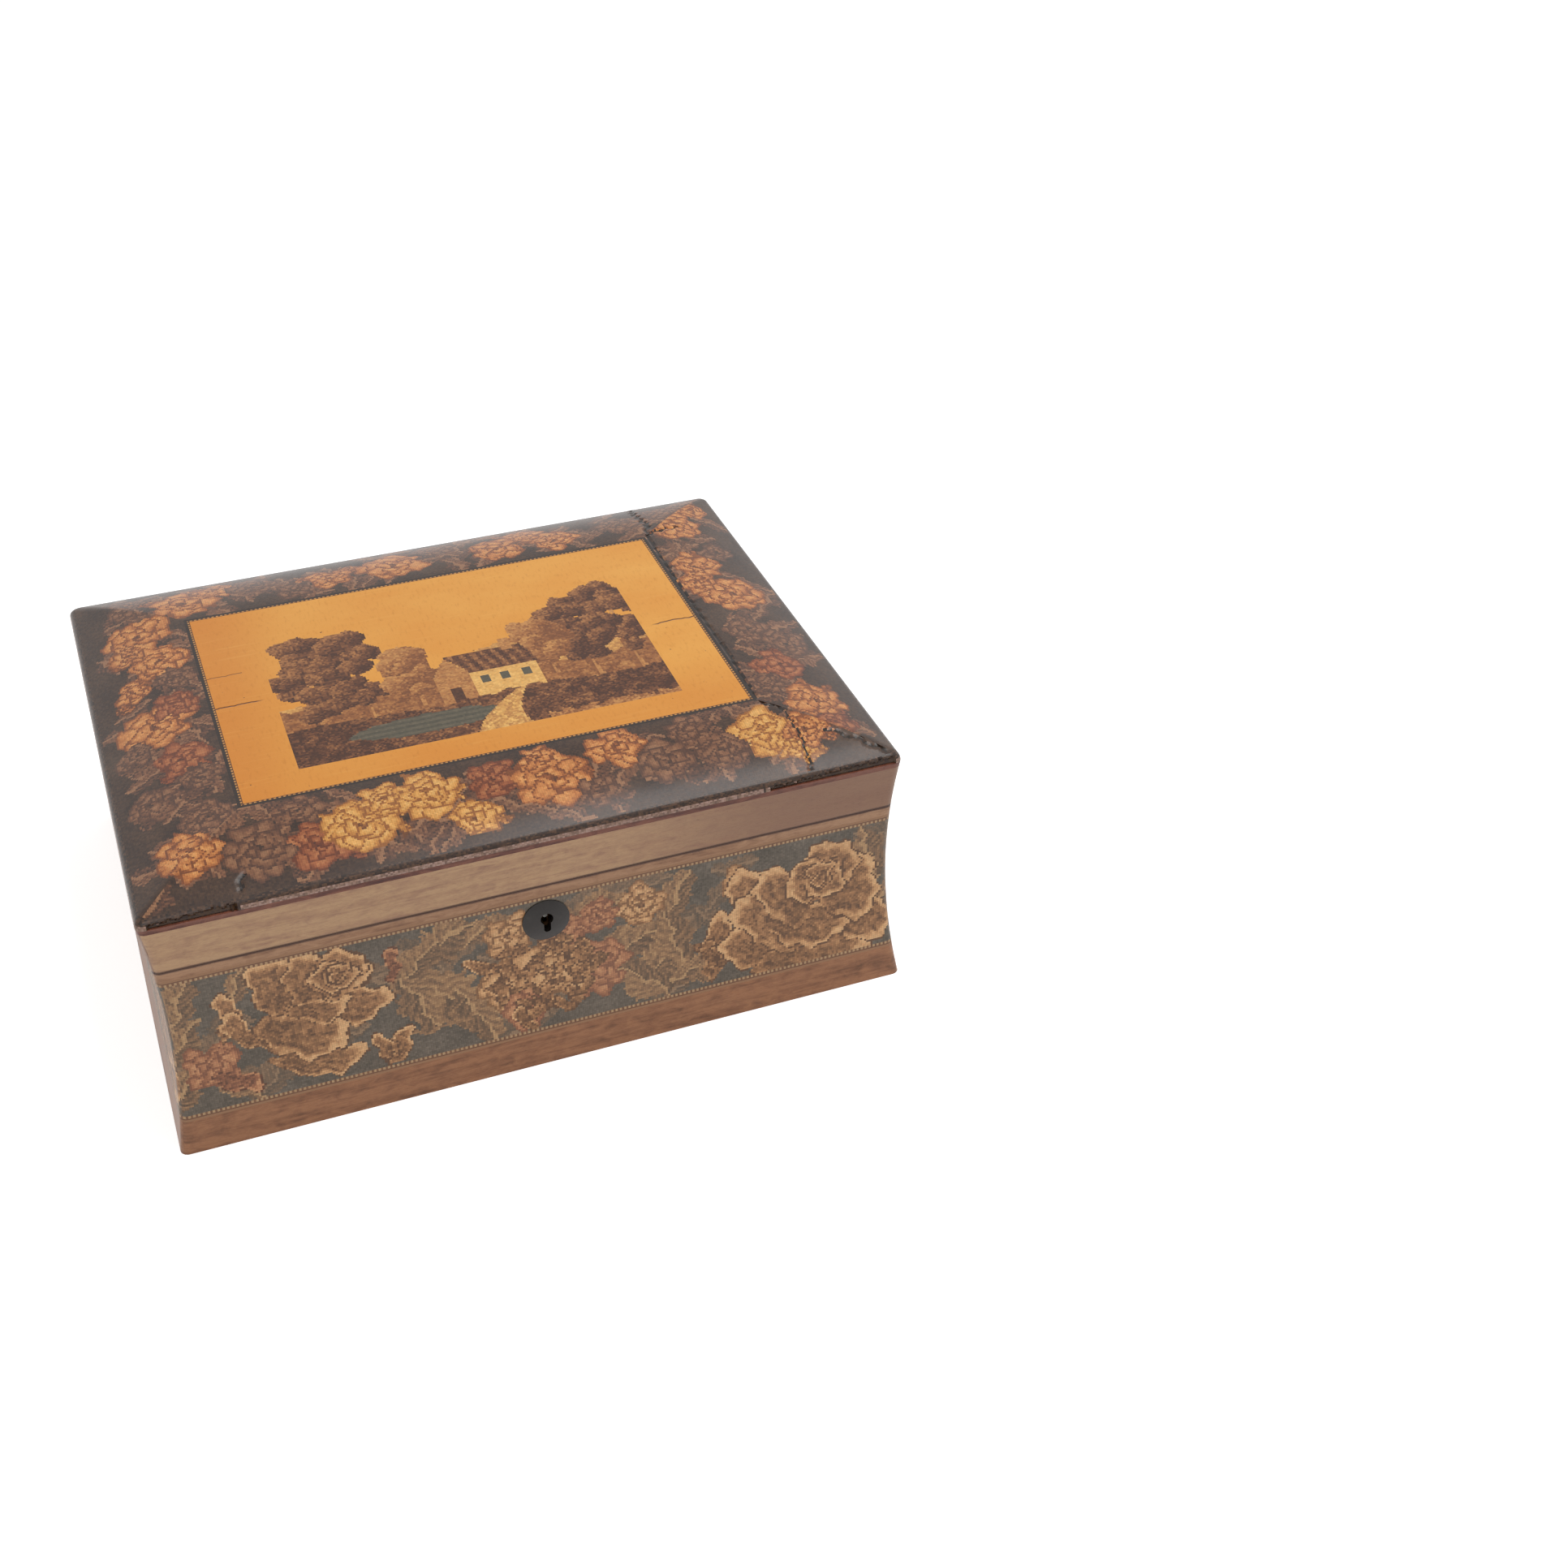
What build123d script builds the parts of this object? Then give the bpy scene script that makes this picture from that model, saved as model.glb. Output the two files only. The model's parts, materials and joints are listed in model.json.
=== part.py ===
from build123d import *
import math
import os

# Inlaid wooden work box with hollow sides, a cushion lid, a lock and a lift-out tray.
# Millimetres, +Z up, +X to the right of the front, origin at the bottom centre.

# Driving dimensions of the outside
rim_w = 260.0
rim_d = 206.2
rim_z = 95.2
top_z = 106.0
joint_z = 75.6
joint_gap = 0.15
base_out = 1.7
side_r = 303.0
border = 39.4
edge_r = 3.5

# Thicknesses
veneer = 1.5
top_veneer = 1.0
wall_in = 11.0
lining = 0.5
board = 5.0
lid_board_z = 88.0

# Heights of the decoration on the sides
base_top = 12.6
band_low = 14.9
band_high = 69.4
line_high = 71.9
lid_veneer_top = 93.2
rim_line_top = 95.2
rim_line_w = 2.2

# Lid panel
panel_line_w = 2.0
picture_w = 136.0
picture_d = 94.0
picture_y = -1.5

# Keyhole plate: depths are insets from the front rim line
key_z = 60.7
escutcheon_r = 8.15
escutcheon_dome = 1.6
escutcheon_edge = 2.2
escutcheon_back = 4.6

# Keyhole: a round top, a slot and a round foot
keyhole_r = 2.2
keyhole_foot_r = 1.2
keyhole_foot_z = 57.8
key_pin_z = 62.2
key_pin_r = 0.8

# Lock case and its selvedge plate: depths are insets from the front rim line
lock_w = 33.0
lock_bottom = 52.6
lock_front = 6.2
lock_wall = 0.5
works_w = 31.2
works_back = 10.5
guide_low = 62.9
guide_high = 64.7
guide_gap = 4.0
selvedge_w = 40.0
selvedge_t = 1.1
selvedge_front = 5.6

# Bolt: a bar, two posts and a hook on each, at rest 4 mm left of its locked place
bolt_left = -14.6
bolt_right = 1.4
bolt_low = 64.9
bolt_high = 66.4
bolt_front = 7.4
bolt_back = 9.8
post_w = 2.0
post_high = 70.8
hook_len = 4.4
hook_low = 68.2
hook_front = 8.15
hook_back = 9.05

# Link plate in the lid and its two staples
link_w = 28.0
link_t = 1.0
link_back = 10.8
staple_x = 7.0
staple_t = 1.6
staple_low = 66.9
staple_front = 7.2
staple_back = 10.0
eye_low = 67.7
eye_high = 71.4
eye_front = 7.8
eye_back = 9.4
staple_slot = 3.0

# Screws
screw_len = 6.0
screw_head_r = 1.4
screw_shank_r = 0.8
screw_head_t = 0.8
screw_slot = 0.4
screw_slot_deep = 0.3
hinge_screw_gap = 10.0
hinge_screw_in = 3.4

# Hinges
hinge_x = 85.0
hinge_len = 30.0
hinge_y = rim_d / 2 - 0.5
hinge_z = joint_z + joint_gap / 2
knuckle_r = 2.0
pin_r = 0.9
leaf_t = 1.0
leaf_y = hinge_y - 9.2
knuckle_n = 5
knuckle_gap = 0.2
knuckle_room = 0.35
knuckle_end_room = 0.3
leaf_bed = 0.05
leaf_front = hinge_y - 2.5
lid_bore_play = 0.05

# Tray
tray_gap = 1.3
tray_low = 49.6
tray_floor = 2.0
tray_high = 73.0
tray_wall = 3.0
divider = 2.5
divider_high = 71.0
tray_col = 42.0
tray_row = 28.0
bearer = 4.0
bearer_t = 5.5
bearer_play = 0.1
tab_w = 12.0
tab_y = 20.0
tab_t = 0.6
tab_low = 57.0
tab_over = 1.2
pincushion_h = 22.0
pincushion_play = 0.8

# Paper, cloth and pads
paper_low = 0.2
paper_t = 0.4
lining_drop = 1.6
lid_lining_rise = 0.6
pad_play = 0.6
floor_pad_h = 6.5
lid_pad_h = 5.5
pad_crown = 0.80
pincushion_crown = 0.66
pad_corner_r = 4.0

# How far cutting shapes reach past the wood
over = 8.0
mitre_deep = 60.0
mitre_high = 140.0

half_w = rim_w / 2
half_d = rim_d / 2
in_w = half_w - wall_in
in_d = half_d - wall_in
board_low = paper_low + paper_t
case_floor = board + board_low


def side_centre():
    """Centre of the hollow side's arc, as inset and height: it passes the base and the rim."""
    low = (-base_out, 0.0)
    high = (0.0, rim_z)
    mid = ((low[0] + high[0]) / 2, (low[1] + high[1]) / 2)
    run = (high[0] - low[0], high[1] - low[1])
    chord = math.hypot(*run)
    reach = math.sqrt(side_r ** 2 - chord ** 2 / 4)
    return (mid[0] - reach * run[1] / chord, mid[1] + reach * run[0] / chord)


side_c = side_centre()


def inset(z, depth=0.0):
    """Inset of the hollow face at a height, for a face that lies deeper by the given depth."""
    return side_c[0] + math.sqrt((side_r + depth) ** 2 - (z - side_c[1]) ** 2)


def cushion_slope():
    """Slope where the lid's small edge arc meets the long top arc."""
    slope = 0.4
    for _ in range(60):
        start = edge_r * (1 - math.sin(slope))
        rise = edge_r * math.cos(slope)
        slope = 2 * math.atan((top_z - rim_z - rise) / (border - start))
    return slope


slope = cushion_slope()
crown_r = (border - edge_r * (1 - math.sin(slope))) / math.sin(slope)


def cushion_z(u, depth=0.0):
    """Height of the cushion at a distance in from the rim, lowered square to its surface."""
    split = border - (crown_r - depth) * math.sin(slope)
    if u >= split:
        return top_z - crown_r + math.sqrt((crown_r - depth) ** 2 - (border - u) ** 2)
    return rim_z + math.sqrt(max((edge_r - depth) ** 2 - (edge_r - u) ** 2, 0.0))


def side_frames():
    """Name, half length and plane of each side: its local X is the inset, its local Y is up."""
    front = Plane(origin=(0, -half_d, 0), x_dir=(0, 1, 0), z_dir=(1, 0, 0))
    back = Plane(origin=(0, half_d, 0), x_dir=(0, -1, 0), z_dir=(-1, 0, 0))
    left = Plane(origin=(-half_w, 0, 0), x_dir=(1, 0, 0), z_dir=(0, -1, 0))
    right = Plane(origin=(half_w, 0, 0), x_dir=(-1, 0, 0), z_dir=(0, 1, 0))
    return [("front", half_w, front), ("back", half_w, back),
            ("left", half_d, left), ("right", half_d, right)]


def mitre(name, half):
    """Prism of the ground that one side covers, cut at 45 degrees at both corners."""
    half_other = half_d if half == half_w else half_w
    low = half_other + over
    high = half_other - mitre_deep
    short = half - mitre_deep
    points = [(-half - over, -low), (half + over, -low), (short, -high), (-short, -high)]
    turn = {"front": 0, "right": 90, "back": 180, "left": 270}[name]
    face = make_face(Polyline(*points, close=True))
    return Rot(0, 0, turn) * extrude(face, mitre_high)


def side_solid(name, half, plane, outline):
    """Solid of one side: the outline in the side's plane, run along the side and mitred."""
    bar = extrude(plane * outline, half + over, both=True)
    return bar & mitre(name, half)


def strip(low, high, near, far):
    """Outline between two parallel arcs of the hollow side, at two depths."""
    def point(z, depth):
        return (inset(z, depth), z)

    mid = (low + high) / 2
    edge = [ThreePointArc(point(low, near), point(mid, near), point(high, near)),
            Line(point(high, near), point(high, far)),
            ThreePointArc(point(high, far), point(mid, far), point(low, far)),
            Line(point(low, far), point(low, near))]
    return make_face(edge)


def wall_outline(low, high):
    """Outline of a solid wall between the veneer's back and the straight inner face."""
    mid = (low + high) / 2
    edge = [ThreePointArc((inset(low, veneer), low), (inset(mid, veneer), mid),
                          (inset(high, veneer), high)),
            Line((inset(high, veneer), high), (wall_in, high)),
            Line((wall_in, high), (wall_in, low)),
            Line((wall_in, low), (inset(low, veneer), low))]
    return make_face(edge)


def box(x0, x1, y0, y1, z0, z1):
    return Pos((x0 + x1) / 2, (y0 + y1) / 2, (z0 + z1) / 2) * Box(x1 - x0, y1 - y0, z1 - z0)


def rod_y(x, z, r, y0, y1):
    """Cylinder along Y."""
    return Pos(x, (y0 + y1) / 2, z) * Rot(90, 0, 0) * Cylinder(r, y1 - y0)


def rod_x(x0, x1, y, z, r):
    """Cylinder along X."""
    return Pos((x0 + x1) / 2, y, z) * Rot(0, 90, 0) * Cylinder(r, x1 - x0)


def fr(depth):
    """Y of a plane that lies the given inset behind the front rim line."""
    return -half_d + depth


def ring(outline):
    """The same outline run along all four sides, as four mitred strips."""
    return [side_solid(name, half, plane, outline) for name, half, plane in side_frames()]


def four_linings(z0, z1):
    """Thin cloth or paper on the four inner faces."""
    front = box(-in_w, in_w, -in_d, -in_d + lining, z0, z1)
    back = box(-in_w, in_w, in_d - lining, in_d, z0, z1)
    left = box(-in_w, -in_w + lining, -in_d + lining, in_d - lining, z0, z1)
    right = box(in_w - lining, in_w, -in_d + lining, in_d - lining, z0, z1)
    return [front, back, left, right]


def lock_cavity():
    half = lock_w / 2
    return box(-half, half, fr(lock_front), fr(wall_in), lock_bottom, joint_z - selvedge_t)


def selvedge_blank():
    half = selvedge_w / 2
    return box(-half, half, fr(selvedge_front), fr(wall_in), joint_z - selvedge_t, joint_z)


def link_blank():
    half = link_w / 2
    return box(-half, half, fr(lock_front), fr(link_back), link_z, link_z + link_t)


def escutcheon_seat(front):
    return rod_y(0, key_z, escutcheon_r, fr(front), fr(escutcheon_back))


def keyhole(y0, y1):
    slot = box(-keyhole_foot_r, keyhole_foot_r, y0, y1, keyhole_foot_z, key_pin_z)
    top = rod_y(0, key_pin_z, keyhole_r, y0, y1)
    return top + slot + rod_y(0, keyhole_foot_z, keyhole_foot_r, y0, y1)


def hinge_room():
    """Room for the knuckles, cut from everything beside them."""
    room = []
    for side in (-1, 1):
        x = side * hinge_x
        half = hinge_len / 2 + knuckle_end_room
        room.append(rod_x(x - half, x + half, hinge_y, hinge_z, knuckle_r + knuckle_room))
    return room[0] + room[1]


def leaf_blank(z0, z1):
    out = []
    for side in (-1, 1):
        x = side * hinge_x
        out.append(box(x - hinge_len / 2, x + hinge_len / 2, leaf_y, hinge_y, z0, z1))
    return out[0] + out[1]


def screw_room(x, y, z, down):
    """Countersunk hole whose mouth lies at z, running down or up."""
    step = -1 if down else 1
    tilt = 0 if down else 180
    shank_len = screw_len - screw_head_t
    head = Pos(x, y, z + step * screw_head_t / 2) * Rot(tilt, 0, 0)
    head *= Cone(screw_shank_r, screw_head_r, screw_head_t)
    middle = z + step * (screw_head_t + shank_len / 2)
    return head + Pos(x, y, middle) * Cylinder(screw_shank_r, shank_len)


def screw(x, y, z, down):
    """Countersunk screw with a slotted head, flush at z."""
    half = screw_slot / 2
    slot = box(x - screw_head_r, x + screw_head_r, y - half, y + half,
               z - screw_slot_deep, z + screw_slot_deep)
    return screw_room(x, y, z, down) - slot


leaf_case = (joint_z - leaf_t - leaf_bed, joint_z - leaf_bed)
link_z = joint_z + joint_gap
leaf_lid = (link_z + leaf_bed, link_z + leaf_bed + leaf_t)
hinge_screw_at = [(side * hinge_x + dx, leaf_y + hinge_screw_in)
                  for side in (-1, 1) for dx in (-hinge_screw_gap, 0, hinge_screw_gap)]
selvedge_screw_at = [(-18.0, fr(8.3)), (18.0, fr(8.3))]
link_screw_at = [(-11.4, fr(8.5)), (11.4, fr(8.5))]


def save(name, solids):
    shape = solids if not isinstance(solids, list) else Compound(children=solids)
    export_step(shape, "parts/" + name + ".step")


def case_walls():
    outline = wall_outline(0.0, joint_z)
    for name, half, plane in side_frames():
        wall = side_solid(name, half, plane, outline)
        if name == "front":
            wall -= lock_cavity()
            wall -= selvedge_blank()
            wall -= escutcheon_seat(0.0)
            wall -= keyhole(fr(0.0), fr(lock_front + 1))
            for x, y in selvedge_screw_at:
                wall -= screw_room(x, y, joint_z, True)
        if name == "back":
            wall -= hinge_room()
            wall -= leaf_blank(leaf_case[0], joint_z)
            for x, y in hinge_screw_at:
                wall -= screw_room(x, y, leaf_case[1], True)
        save("case_wall_" + name, wall)


def case_veneers():
    band = strip(band_low, band_high, 0.0, veneer)
    base = strip(0.0, base_top, 0.0, veneer)
    for name, half, plane in side_frames():
        save("base_veneer_" + name, side_solid(name, half, plane, base))
        piece = side_solid(name, half, plane, band)
        if name == "front":
            piece -= escutcheon_seat(0.0)
        save("mosaic_band_" + name, piece)
    save("stringing_lower", ring(strip(base_top, band_low, 0.0, veneer)))
    upper = ring(strip(band_high, line_high, 0.0, veneer))
    upper[0] -= escutcheon_seat(0.0)
    save("stringing_upper", upper)
    under_joint = ring(strip(line_high, joint_z, 0.0, veneer))
    under_joint[1] -= hinge_room()
    under_joint[1] -= leaf_blank(leaf_case[0], joint_z)
    save("joint_strip", under_joint)


def case_inside():
    save("bottom_board", box(-in_w, in_w, -in_d, in_d, board_low, case_floor))
    save("base_paper", box(-in_w, in_w, -in_d, in_d, paper_low, board_low))
    save("case_lining", four_linings(case_floor, joint_z - lining_drop))
    w = in_w - lining
    d = in_d - lining
    t1 = tray_low - bearer_play
    t0 = t1 - bearer_t
    bars = [box(-w, -w + bearer, -d, d, t0, t1), box(w - bearer, w, -d, d, t0, t1),
            box(-w + bearer, w - bearer, -d, -d + bearer, t0, t1),
            box(-w + bearer, w - bearer, d - bearer, d, t0, t1)]
    save("tray_bearers", bars)


def cushion(w, d, z, height, bulge):
    """Stuffed pad on a board: drawn-in foot, full waist and a crown, as (height, width) shares."""
    rows = [(0.0, 0.985), (0.35, 1.0), (0.62, 0.985), (0.86, 0.93), (1.0, bulge)]
    faces = []
    for up, size in rows:
        draw_in = (1 - size) * min(w, d)
        lower = RectangleRounded(w - draw_in, d - draw_in, pad_corner_r)
        faces.append(Pos(0, 0, z + up * height) * lower)
    return loft(faces)


def pad_size():
    return 2 * (in_w - lining) - pad_play, 2 * (in_d - lining) - pad_play


def floor_pad():
    w, d = pad_size()
    save("floor_pad", cushion(w, d, case_floor, floor_pad_h, pad_crown))


def escutcheon():
    edge_y = fr(escutcheon_edge)
    front_y = edge_y - escutcheon_dome
    dome_r = (escutcheon_r ** 2 + escutcheon_dome ** 2) / (2 * escutcheon_dome)
    ball = Pos(0, front_y + dome_r, key_z) * Sphere(dome_r)
    cap = ball & rod_y(0, key_z, escutcheon_r, front_y, edge_y)
    plate = escutcheon_seat(escutcheon_edge) + cap
    save("escutcheon", plate - keyhole(front_y - 1, fr(escutcheon_back + 1)))


def lock_case():
    """Open-topped case with a guide on each side under the bolt."""
    case = lock_cavity()
    half = works_w / 2
    front_y = fr(lock_front + lock_wall)
    back_y = fr(works_back)
    case -= box(-half, half, front_y, back_y, lock_bottom + 0.6, joint_z - selvedge_t)
    case -= keyhole(fr(lock_front - 1), front_y)
    for x0, x1 in ((-half, -guide_gap), (guide_gap, half)):
        case += box(x0, x1, front_y, back_y, guide_low, guide_high)
    save("lock_case", case)


def lock_selvedge():
    plate = selvedge_blank()
    half = staple_slot / 2
    for x in (-staple_x, staple_x):
        plate -= box(x - half, x + half, fr(lock_front + lock_wall), fr(works_back),
                     joint_z - 2 * selvedge_t, joint_z + 1)
    for x, y in selvedge_screw_at:
        plate -= screw_room(x, y, joint_z, True)
    save("lock_selvedge", plate)
    save("lock_screws", [screw(x, y, joint_z, True) for x, y in selvedge_screw_at])


def lock_bolt():
    front_y = fr(bolt_front)
    back_y = fr(bolt_back)
    bolt = box(bolt_left, bolt_right, front_y, back_y, bolt_low, bolt_high)
    for x in (bolt_left, bolt_left + 2 * staple_x):
        bolt += box(x, x + post_w, front_y, back_y, bolt_high, post_high)
        bolt += box(x + post_w, x + post_w + hook_len, fr(hook_front), fr(hook_back),
                    hook_low, post_high)
    save("lock_bolt", bolt)


def link_plate():
    link = link_blank()
    half = staple_t / 2
    for x in (-staple_x, staple_x):
        staple = box(x - half, x + half, fr(staple_front), fr(staple_back), staple_low, link_z)
        staple -= box(x - 1, x + 1, fr(eye_front), fr(eye_back), eye_low, eye_high)
        link += staple
    for x, y in link_screw_at:
        link -= screw_room(x, y, link_z, False)
    save("link_plate", link)
    save("link_screws", [screw(x, y, link_z, False) for x, y in link_screw_at])


def lock():
    lock_case()
    lock_selvedge()
    save("lock_pin", rod_y(0, key_pin_z, key_pin_r, fr(3.2), fr(works_back)))
    lock_bolt()
    link_plate()


def knuckles(first):
    """Side and both ends of each knuckle that one kind of leaf owns."""
    out = []
    step = hinge_len / knuckle_n
    for side in (-1, 1):
        start = side * hinge_x - hinge_len / 2
        for k in range(first, knuckle_n, 2):
            x0 = start + k * step + (knuckle_gap / 2 if k > 0 else 0)
            x1 = start + (k + 1) * step - (knuckle_gap / 2 if k < knuckle_n - 1 else 0)
            out.append((side, x0, x1))
    return out


def hinge_leaves(first, bore, z0, z1):
    leaves = []
    for side in (-1, 1):
        x = side * hinge_x
        plate = box(x - hinge_len / 2, x + hinge_len / 2, leaf_y, leaf_front, z0, z1)
        for owner, x0, x1 in knuckles(first):
            if owner != side:
                continue
            tongue = box(x0, x1, leaf_front, hinge_y, z0, z1)
            barrel = rod_x(x0, x1, hinge_y, hinge_z, knuckle_r)
            plate = plate + tongue + barrel - rod_x(x0 - 1, x1 + 1, hinge_y, hinge_z, bore)
        leaves.append(plate)
    return leaves


def hinges():
    case_leaves = hinge_leaves(0, pin_r, leaf_case[0], leaf_case[1])
    lid_leaves = hinge_leaves(1, pin_r + lid_bore_play, leaf_lid[0], leaf_lid[1])
    for i in (0, 1):
        for x, y in hinge_screw_at[3 * i:3 * i + 3]:
            case_leaves[i] -= screw_room(x, y, leaf_case[1], True)
            lid_leaves[i] -= screw_room(x, y, leaf_lid[0], False)
    save("hinge_leaves_case", case_leaves)
    save("hinge_leaves_lid", lid_leaves)
    save("hinge_screws_case", [screw(x, y, leaf_case[1], True) for x, y in hinge_screw_at])
    save("hinge_screws_lid", [screw(x, y, leaf_lid[0], False) for x, y in hinge_screw_at])
    pins = []
    for side in (-1, 1):
        x = side * hinge_x
        pins.append(rod_x(x - hinge_len / 2, x + hinge_len / 2, hinge_y, hinge_z, pin_r))
    save("hinge_pins", pins)


def lid_shell():
    low = link_z
    rail = wall_outline(low, lid_board_z)
    skin = strip(low, lid_veneer_top, 0.0, veneer)
    for name, half, plane in side_frames():
        wood = side_solid(name, half, plane, rail)
        cover = side_solid(name, half, plane, skin)
        if name == "front":
            wood -= link_blank()
            for x, y in link_screw_at:
                wood -= screw_room(x, y, link_z, False)
        if name == "back":
            room = leaf_blank(low, leaf_lid[1])
            wood = wood - hinge_room() - room
            cover = cover - hinge_room() - room
            for x, y in hinge_screw_at:
                wood -= screw_room(x, y, leaf_lid[0], False)
        save("lid_rail_" + name, wood)
        save("lid_veneer_" + name, cover)
    save("rim_line", ring(strip(lid_veneer_top, rim_line_top, 0.0, veneer)))


def lid_board():
    """Board with its crown: four mitred cushion slopes round a flat middle."""
    panel_w = half_w - border
    panel_d = half_d - border
    low_u = inset(lid_board_z, veneer)
    shoulder = inset(rim_line_top, veneer)
    start_z = cushion_z(shoulder, top_veneer)
    split = border - (crown_r - top_veneer) * math.sin(slope)
    mid = (split + border) / 2
    mid_low = (shoulder + split) / 2
    side_mid = (lid_board_z + rim_line_top) / 2
    edge = [ThreePointArc((low_u, lid_board_z), (inset(side_mid, veneer), side_mid),
                          (shoulder, rim_line_top)),
            Line((shoulder, rim_line_top), (shoulder, start_z)),
            ThreePointArc((shoulder, start_z), (mid_low, cushion_z(mid_low, top_veneer)),
                          (split, cushion_z(split, top_veneer))),
            ThreePointArc((split, cushion_z(split, top_veneer)), (mid, cushion_z(mid, top_veneer)),
                          (border, top_z - top_veneer)),
            Line((border, top_z - top_veneer), (border, lid_board_z)),
            Line((border, lid_board_z), (low_u, lid_board_z))]
    outline = make_face(edge)
    slopes = ring(outline)
    core = box(-panel_w, panel_w, -panel_d, panel_d, lid_board_z, top_z - top_veneer)
    board_all = core
    for piece in slopes:
        board_all = board_all + piece
    save("lid_board", board_all)


def on_cushion(u, depth=0.0):
    return (u, cushion_z(u, depth))


def rim_outline():
    """Checked line on the lid's edge arc."""
    inner = inset(rim_line_top, veneer)
    turn = 0.45
    middle = (edge_r * (1 - math.cos(turn)), rim_z + edge_r * math.sin(turn))
    far_middle = (inner + rim_line_w) / 2
    return make_face([
        ThreePointArc((0.0, rim_z), middle, on_cushion(rim_line_w)),
        Line(on_cushion(rim_line_w), on_cushion(rim_line_w, top_veneer)),
        ThreePointArc(on_cushion(rim_line_w, top_veneer), on_cushion(far_middle, top_veneer),
                      on_cushion(inner, top_veneer)),
        Line(on_cushion(inner, top_veneer), (inner, rim_z)),
        Line((inner, rim_z), (0.0, rim_z))])


def border_outline():
    """Mosaic skin from the checked line over the edge arc and the crown to the flat middle."""
    far = top_veneer
    split = border - crown_r * math.sin(slope)
    far_split = border - (crown_r - far) * math.sin(slope)
    start = rim_line_w
    return make_face([
        ThreePointArc(on_cushion(start), on_cushion((start + split) / 2), on_cushion(split)),
        ThreePointArc(on_cushion(split), on_cushion((split + border) / 2), (border, top_z)),
        Line((border, top_z), (border, top_z - far)),
        ThreePointArc((border, top_z - far), on_cushion((far_split + border) / 2, far),
                      on_cushion(far_split, far)),
        ThreePointArc(on_cushion(far_split, far), on_cushion((start + far_split) / 2, far),
                      on_cushion(start, far)),
        Line(on_cushion(start, far), on_cushion(start))])


def lid_top():
    save("rim_stringing", ring(rim_outline()))
    outline = border_outline()
    for name, half, plane in side_frames():
        save("cushion_mosaic_" + name, side_solid(name, half, plane, outline))
    pw = half_w - border
    pd = half_d - border
    z0 = top_z - top_veneer
    gw = pw - panel_line_w
    gd = pd - panel_line_w
    ground = box(-gw, gw, -gd, gd, z0, top_z)
    picture = Pos(0, picture_y, (z0 + top_z) / 2) * Box(picture_w, picture_d, top_veneer)
    save("panel_stringing", box(-pw, pw, -pd, pd, z0, top_z) - ground)
    save("panel_ground", ground - picture)
    save("picture_inlay", picture)


def lid_inside():
    save("lid_lining", four_linings(link_z + lid_lining_rise, lid_board_z))
    w, d = pad_size()
    pad = Rot(180, 0, 0) * cushion(w, d, 0.0, lid_pad_h, pad_crown)
    save("lid_pad", Pos(0, 0, lid_board_z) * pad)


def tray():
    w = in_w - lining - tray_gap
    d = in_d - lining - tray_gap
    wi = w - tray_wall
    di = d - tray_wall
    z0 = tray_low
    zf = tray_low + tray_floor
    save("tray_bottom", box(-w, w, -d, d, z0, zf))
    walls = [box(-w, w, -d, -di, zf, tray_high), box(-w, w, di, d, zf, tray_high),
             box(-w, -wi, -di, di, zf, tray_high), box(wi, w, -di, di, zf, tray_high)]
    save("tray_walls", walls)
    t = divider / 2
    parts = []
    for side in (-1, 1):
        x = side * tray_col
        parts.append(box(x - t, x + t, -di, di, zf, divider_high))
        y = side * tray_row
        parts.append(box(-tray_col + t, tray_col - t, y - t, y + t, zf, divider_high))
        x0 = min(side * (tray_col + t), side * wi)
        x1 = max(side * (tray_col + t), side * wi)
        parts.append(box(x0, x1, -t, t, zf, divider_high))
    save("tray_dividers", parts)
    cw = 2 * (tray_col - t) - pincushion_play
    cd = 2 * (tray_row - t) - pincushion_play
    save("pincushion", cushion(cw, cd, zf, pincushion_h, pincushion_crown))
    tabs = []
    for side in (-1, 1):
        x0 = min(side * wi, side * (wi - tab_t))
        y0 = tab_y - tab_w / 2
        tabs.append(box(x0, x0 + tab_t, y0, y0 + tab_w, tab_low, tray_high + tab_over))
    save("tray_tabs", tabs)


os.makedirs("parts", exist_ok=True)
case_walls()
case_veneers()
case_inside()
floor_pad()
escutcheon()
lock()
hinges()
lid_shell()
lid_board()
lid_top()
lid_inside()
tray()
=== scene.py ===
import json
import math

import bpy
import numpy as np
from mathutils import Matrix, Vector


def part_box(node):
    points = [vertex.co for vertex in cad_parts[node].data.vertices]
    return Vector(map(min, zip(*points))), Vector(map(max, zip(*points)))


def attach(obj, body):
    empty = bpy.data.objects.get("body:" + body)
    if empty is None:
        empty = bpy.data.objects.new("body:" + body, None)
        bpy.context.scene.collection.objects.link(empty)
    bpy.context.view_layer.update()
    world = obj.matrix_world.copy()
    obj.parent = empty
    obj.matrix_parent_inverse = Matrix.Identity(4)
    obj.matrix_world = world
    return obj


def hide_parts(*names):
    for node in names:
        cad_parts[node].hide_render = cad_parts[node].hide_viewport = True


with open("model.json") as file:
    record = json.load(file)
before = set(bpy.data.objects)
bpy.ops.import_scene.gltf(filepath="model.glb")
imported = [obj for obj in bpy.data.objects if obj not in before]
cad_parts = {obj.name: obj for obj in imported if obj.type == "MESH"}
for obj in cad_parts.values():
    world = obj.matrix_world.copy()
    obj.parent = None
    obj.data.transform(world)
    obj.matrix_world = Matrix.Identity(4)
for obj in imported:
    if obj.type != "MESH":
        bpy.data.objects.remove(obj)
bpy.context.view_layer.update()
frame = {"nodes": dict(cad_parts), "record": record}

bl_info = {
    "name": "Inlaid work box",
    "version": (1, 0, 0),
    "blender": (4, 5, 0),
    "location": "View3D > Sidebar > Work Box",
    "description": "Veneers, wood mosaic, fittings and padding of a hinged work box",
    "category": "Object",
}

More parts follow.
